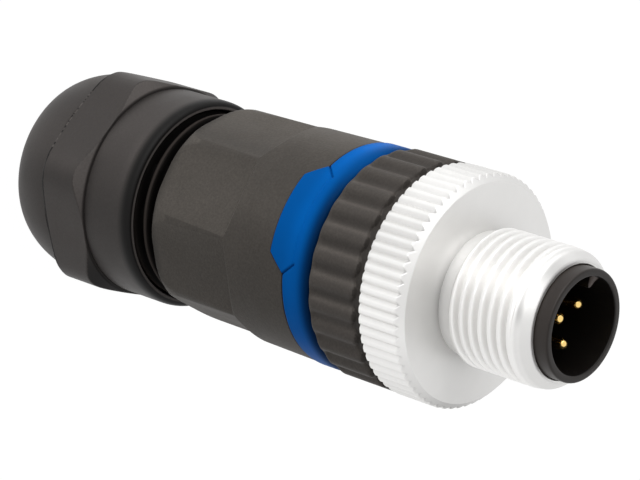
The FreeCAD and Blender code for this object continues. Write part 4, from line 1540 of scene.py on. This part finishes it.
    def sleeve_skin(self) -> tuple[Skin, Array]:
        """Work out the sleeve's skin.

        Formula: the radius is the turned outline less the thread's depth times
        a groove that follows a right-hand helix; the groove is 0 on the land,
        falls on both flanks and fades out before the smooth end. The painted
        light falls with the cut as painted shade, the root by the flange gets
        painted shade, and neck, thread, tip and front edge have their own
        streaks of painted light and shade.

        Returns:
            The skin, and its painted light and shade.
        """
        angle = even_angles(self.columns)
        section = Section(self.columns)
        section.corner(self.ledge_bore, self.neck_start, run=1)
        section.corner(self.neck, self.neck_start, run=10)
        section.corner(self.neck, self.neck_end, 0.1, run=3)
        section.corner(self.thread, self.neck_end + 0.42, 0.12, run=130)
        section.corner(self.thread, self.thread_end, 0.15, run=2)
        section.corner(self.tip, self.thread_end + 0.2, 0.15, run=2)
        section.corner(self.tip, self.end - self.tip_bevel_length, 0.3, run=4)
        section.corner(self.tip - self.tip_bevel, self.end, 0.15, run=2)
        section.corner(self.bore + 0.06, self.end, 0.03)
        section.corner(self.bore, self.end - 0.06, run=8)
        section.corner(self.bore, self.ledge_end, run=2)
        section.corner(self.ledge_bore, self.ledge_end, run=6)
        radius, height = section.trace()
        share = helix_share(angle, height, self.first_crest, self.pitch)
        groove = smooth_step(np.abs(share), self.land / self.pitch / 2, self.flank_end)
        fade = smooth_step(height, self.neck_end + 0.1, self.neck_end + 0.5)
        fade = fade * (1 - smooth_step(height, self.thread_end - 0.35, self.thread_end + 0.05))
        outer = (radius > self.neck + 0.05) & (height > self.neck_end) & (height < self.thread_end + 0.1)
        cut = np.where(outer, self.thread_depth * groove * fade, 0.0)
        # Painted shade at the root by the flange and in the thread's grooves, and streaks of painted light
        # and shade on thread, tip and front edge.
        shade = self.root_shade * (1.0 - smooth_step(height, self.neck_end - 0.2, self.neck_end + 0.5))
        shade = shade * streak_tone(angle, self.root_streaks, self.root_tone)
        shade = shade - np.where(outer, streak_tone(angle, self.thread_streaks), 0.0)
        front = radius > self.bore + 0.1
        tip = smooth_step(height, self.thread_end, self.thread_end + 0.4) * front
        edge = smooth_step(height, self.end - 0.85, self.end - 0.55) * front
        tone = tip * (1.0 - edge) * streak_tone(angle, self.tip_streaks, self.tip_tone)
        tone = tone + edge * streak_tone(angle, self.edge_streaks, self.edge_tone)
        return Skin(radius - cut, height, angle), self.crest_tone - self.groove_tone * cut - shade + tone

    def skins(self) -> dict[str, tuple[Skin, Array]]:
        """Give the flange and the sleeve."""
        return {"coupling_flange": self.flange_skin(), "coupling_sleeve": self.sleeve_skin()}


@dataclass
class ContactShroud(Piece):
    """The contact carrier with its shroud, key and floor.

    The stem holds its small seal in a groove, and the shroud stands on the
    shoulder. The key comes in from the bore to its crest over its flanks,
    which lie within key flank of its half width, and ends in a steep ramp,
    from ramp start to ramp end below the rim. The key band gives how far round
    its flanks the columns are closer, and their step.
    """

    name = "contact_shroud"
    finish = Finishes.SHROUD
    body = "front"
    slot = "carrier_plastic"
    solid = "contact_carrier"

    rear: float = 38.0
    stem: float = 4.0
    shoulder: float = 51.7
    outer: float = 4.82
    rim: float = 60.5
    rim_round: float = 0.22
    bore: float = 4.16
    floor: float = 52.8
    key_angle: float = 184.6
    key_width: float = 0.95
    key_crest: float = 3.1
    key_depth: float = 1.4
    key_flank: tuple[float, float] = (-0.30, 0.05)
    key_band: tuple[float, float] = (2.4, 0.3)
    ramp_start: float = 0.95
    ramp_end: float = 0.55
    seal_height: float = 43.2
    seal_width: float = 0.7
    seal_depth: float = 0.6
    # Painted light and shade: the outside a little lighter, the rim darker, the bore darkest, and a painted
    # highlight on the key's ramp.
    outer_tone: float = 0.6
    rim_tone: float = 0.3
    bore_tone: float = -0.1
    ramp_tone: float = 3.0
    columns: int = 216

    def skin(self) -> tuple[Skin, Array]:
        """Work out the carrier's skin.

        Formula: a turned section from axis to axis, whose bore is drawn in to
        the key's crest where the distance across the key is within its half
        width, and out again along a steep ramp towards the rim. The ramp
        carries a painted highlight, the bore painted shade, the rim a little
        painted shade and the outside a little painted light.

        Returns:
            The skin, and its painted light and shade.
        """
        half = math.degrees(math.asin(self.key_width / 2 / self.key_crest))
        angle = finer_angles(self.columns, [self.key_angle - half, self.key_angle + half], *self.key_band)
        neck = self.stem - self.seal_depth
        section = Section(len(angle))
        section.corner(0.0, self.rear, run=2)
        section.corner(self.stem, self.rear, 0.15, run=6)
        section.corner(self.stem, self.seal_height - self.seal_width / 2)
        section.corner(neck, self.seal_height - self.seal_width / 2, run=2)
        section.corner(neck, self.seal_height + self.seal_width / 2)
        section.corner(self.stem, self.seal_height + self.seal_width / 2, run=6)
        section.corner(self.stem, self.shoulder, run=2)
        section.corner(self.outer, self.shoulder, run=16)
        section.corner(self.outer, self.rim, self.rim_round, run=3)
        section.corner(self.bore, self.rim, self.rim_round * 0.7, run=16)
        section.corner(self.bore, self.rim - self.key_depth, run=24)
        section.corner(self.bore, self.floor, 0.12, run=10)
        section.corner(0.0, self.floor)
        radius, height = section.trace(closed=False)
        away = off_centre(angle, self.key_angle)
        across = np.abs(self.bore * np.sin(np.radians(np.clip(away, -90, 90))))
        first, last = self.key_flank
        wide = 1 - smooth_step(across, self.key_width / 2 + first, self.key_width / 2 + last)
        rise = 1 - smooth_step(height, self.rim - self.ramp_start, self.rim - self.ramp_end)
        inside = (radius > self.key_crest) & (radius < self.bore + 0.01) & (height > self.floor - 0.01)
        drawn = radius - (self.bore - self.key_crest) * wide[None, :] * rise
        # Painted light and shade by place: outside, rim, bore and the key's ramp.
        painted_light = np.where(height > self.rim - 0.06, self.rim_tone, self.outer_tone)
        painted_light = np.where((radius < self.bore + 0.06) & (height > self.floor - 0.1), self.bore_tone, painted_light)
        ramp = inside & (wide[None, :] > 0.2) & (rise < 0.97) & (rise > 0.03)
        painted_light = np.where(ramp, self.ramp_tone, painted_light)
        return Skin(np.where(inside, drawn, radius), height, angle, poles=True), painted_light


class InnerSolids:
    """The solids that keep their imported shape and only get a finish."""

    dressed: dict[Finishes, tuple[str, ...]] = {
        Finishes.INNER: ("clamp_cage", "terminal_block", "block_cover"),
        Finishes.SEAL: ("gland_seal", "housing_seal", "carrier_seal"),
        Finishes.CONTACT: tuple(f"contact_{i}" for i in range(1, 6)),
        Finishes.STEEL: tuple(f"terminal_screw_{i}" for i in range(1, 6)),
    }

    def build(self, shop: Workshop) -> None:
        """Dress each solid.

        Args:
            shop: The workshop with the finishes.
        """
        for finish, names in self.dressed.items():
            for name in names:
                shop.dress_node(name, finish)


# Studio

@dataclass(frozen=True)
class Lamp:
    """One soft area lamp, aimed at the middle of the plug."""

    name: str
    place: tuple[float, float, float]
    size: float
    power: float


@dataclass
class Studio:
    """Camera, lamps, pale floor and white surroundings, in metres."""

    focal: float = 154.061
    sensor: float = 36.0
    clip: tuple[float, float] = (0.01, 10.0)
    camera_place: tuple[float, float, float] = (0.0301921, -0.1813191, 0.1855138)
    camera_right: tuple[float, float, float] = (-0.400981, 0.553946, 0.729628)
    camera_up: tuple[float, float, float] = (-0.907314, -0.350103, -0.232828)
    middle: tuple[float, float, float] = (0.0, 0.0, 0.032)
    floor_height: float = -0.0049
    floor_reach: float = 1.2
    floor_colour: tuple[float, float, float, float] = (0.86, 0.86, 0.86, 1.0)
    floor_glow: float = 1.085
    floor_share: float = 0.9
    ambient: float = 0.34
    lamps: tuple[Lamp, ...] = (
        Lamp("lamp_above", (-0.34, -0.246, 0.062), 0.62, 1.10),
        Lamp("lamp_front", (-0.16, -0.39, 0.10), 0.55, 0.86),
    )

    @staticmethod
    def hang(name: str, data: bpy.types.ID, place: Vector, turn: Matrix) -> bpy.types.Object:
        """Link a camera or lamp at its place.

        Args:
            name: Name of the object.
            data: The camera or lamp.
            place: Where it stands.
            turn: How it is turned, as a 4 x 4 matrix.

        Returns:
            The new object.
        """
        item = bpy.data.objects.new(name, data)
        item.matrix_world = Matrix.Translation(place) @ turn
        bpy.context.scene.collection.objects.link(item)
        return item

    def camera(self) -> None:
        """Place the camera at the photograph's angle."""
        right, up = Vector(self.camera_right), Vector(self.camera_up)
        data = bpy.data.cameras.new("camera")
        data.sensor_width = self.sensor
        data.sensor_fit = "HORIZONTAL"
        data.lens = self.focal
        data.clip_start, data.clip_end = self.clip
        turn = Matrix((right, up, right.cross(up))).transposed().to_4x4()
        bpy.context.scene.camera = self.hang("camera", data, Vector(self.camera_place), turn)

    def light(self) -> None:
        """Hang the soft lamps round the plug, aimed at its middle."""
        for lamp in self.lamps:
            data = bpy.data.lights.new(lamp.name, "AREA")
            data.shape = "DISK"
            data.size = lamp.size
            data.energy = lamp.power
            place = Vector(lamp.place)
            aim = (Vector(self.middle) - place).to_track_quat("-Z", "Y")
            self.hang(lamp.name, data, place, aim.to_matrix().to_4x4())

    @staticmethod
    def by_ray(sketch: Sketch, plain: bpy.types.Node, shown: bpy.types.Node,
               share: float) -> bpy.types.NodeSocket:
        """Mix two shaders by the kind of ray.

        Formula: camera, glossy and transmission rays get share x shown +
        (1 - share) x plain, and all other rays get plain.

        Args:
            sketch: The tree to draw in.
            plain: The shader for all other rays.
            shown: The shader for the seen rays.
            share: How much of it they get.

        Returns:
            The socket of the mixed shader.
        """
        path = sketch.add("LightPath")
        seen = sketch.math("MAXIMUM", path.outputs["Is Camera Ray"], path.outputs["Is Glossy Ray"])
        seen = sketch.math("MAXIMUM", seen, path.outputs["Is Transmission Ray"])
        mix = sketch.add("MixShader")
        sketch.join(sketch.math("MULTIPLY", seen, share), mix.inputs[0])
        sketch.join(plain.outputs[0], mix.inputs[1])
        sketch.join(shown.outputs[0], mix.inputs[2])
        return mix.outputs[0]

    def surroundings(self) -> None:
        """Make the world white where it is seen or reflected, and plain light elsewhere."""
        world = bpy.data.worlds.new("surroundings")
        world.use_nodes = True
        world.node_tree.nodes.clear()
        sketch = Sketch(world.node_tree)
        dim = sketch.add("Background", in_Color=WHITE, in_Strength=self.ambient)
        white = sketch.add("Background", in_Color=WHITE, in_Strength=1.0)
        sketch.join(self.by_ray(sketch, dim, white, 1.0), sketch.add("OutputWorld").inputs["Surface"])
        bpy.context.scene.world = world

    def floor(self) -> None:
        """Lay the pale floor, which shows white with a faint shadow.

        Formula: a seen point is floor_share of plain white light and the rest
        of the lit floor, so that the shadow stays; for other rays the floor is
        only lit.
        """
        reach = self.floor_reach
        flat = np.array([[-reach, -reach], [reach, -reach], [reach, reach], [-reach, reach]])
        points = np.column_stack([flat, np.full(4, self.floor_height)])
        mesh = bpy.data.meshes.new("floor")
        mesh.from_pydata(points.tolist(), [], [[0, 1, 2, 3]])
        item = bpy.data.objects.new("floor", mesh)
        bpy.context.scene.collection.objects.link(item)
        material = bpy.data.materials.new("floor_pale")
        material.use_nodes = True
        material.node_tree.nodes.clear()
        sketch = Sketch(material.node_tree)
        matt = sketch.add("BsdfDiffuse", in_Color=self.floor_colour)
        glow = sketch.add("Emission", in_Color=WHITE, in_Strength=self.floor_glow)
        mixed = self.by_ray(sketch, matt, glow, self.floor_share)
        sketch.join(mixed, sketch.add("OutputMaterial").inputs["Surface"])
        mesh.materials.append(material)

    def build(self) -> None:
        """Set up the whole studio."""
        bpy.context.scene.view_settings.view_transform = "Standard"
        self.camera()
        self.light()
        self.surroundings()
        self.floor()
        LOG.info("studio: %d lamps, camera lens %.1f mm", len(self.lamps), self.focal)


def main() -> None:
    """Build the pieces in order."""
    logging.basicConfig(level=logging.INFO, format="%(name)s: %(message)s")
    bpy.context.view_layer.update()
    Studio().build()
    shop = Workshop()
    flag = Flag()
    pieces = (GlandNut(), HousingNeck(), HousingBody(flag), MarkingRing(flag), GripRing(), CouplingScrew(),
              ContactShroud(), InnerSolids())
    for piece in pieces:
        piece.build(shop)


if __name__ == "__main__":
    main()
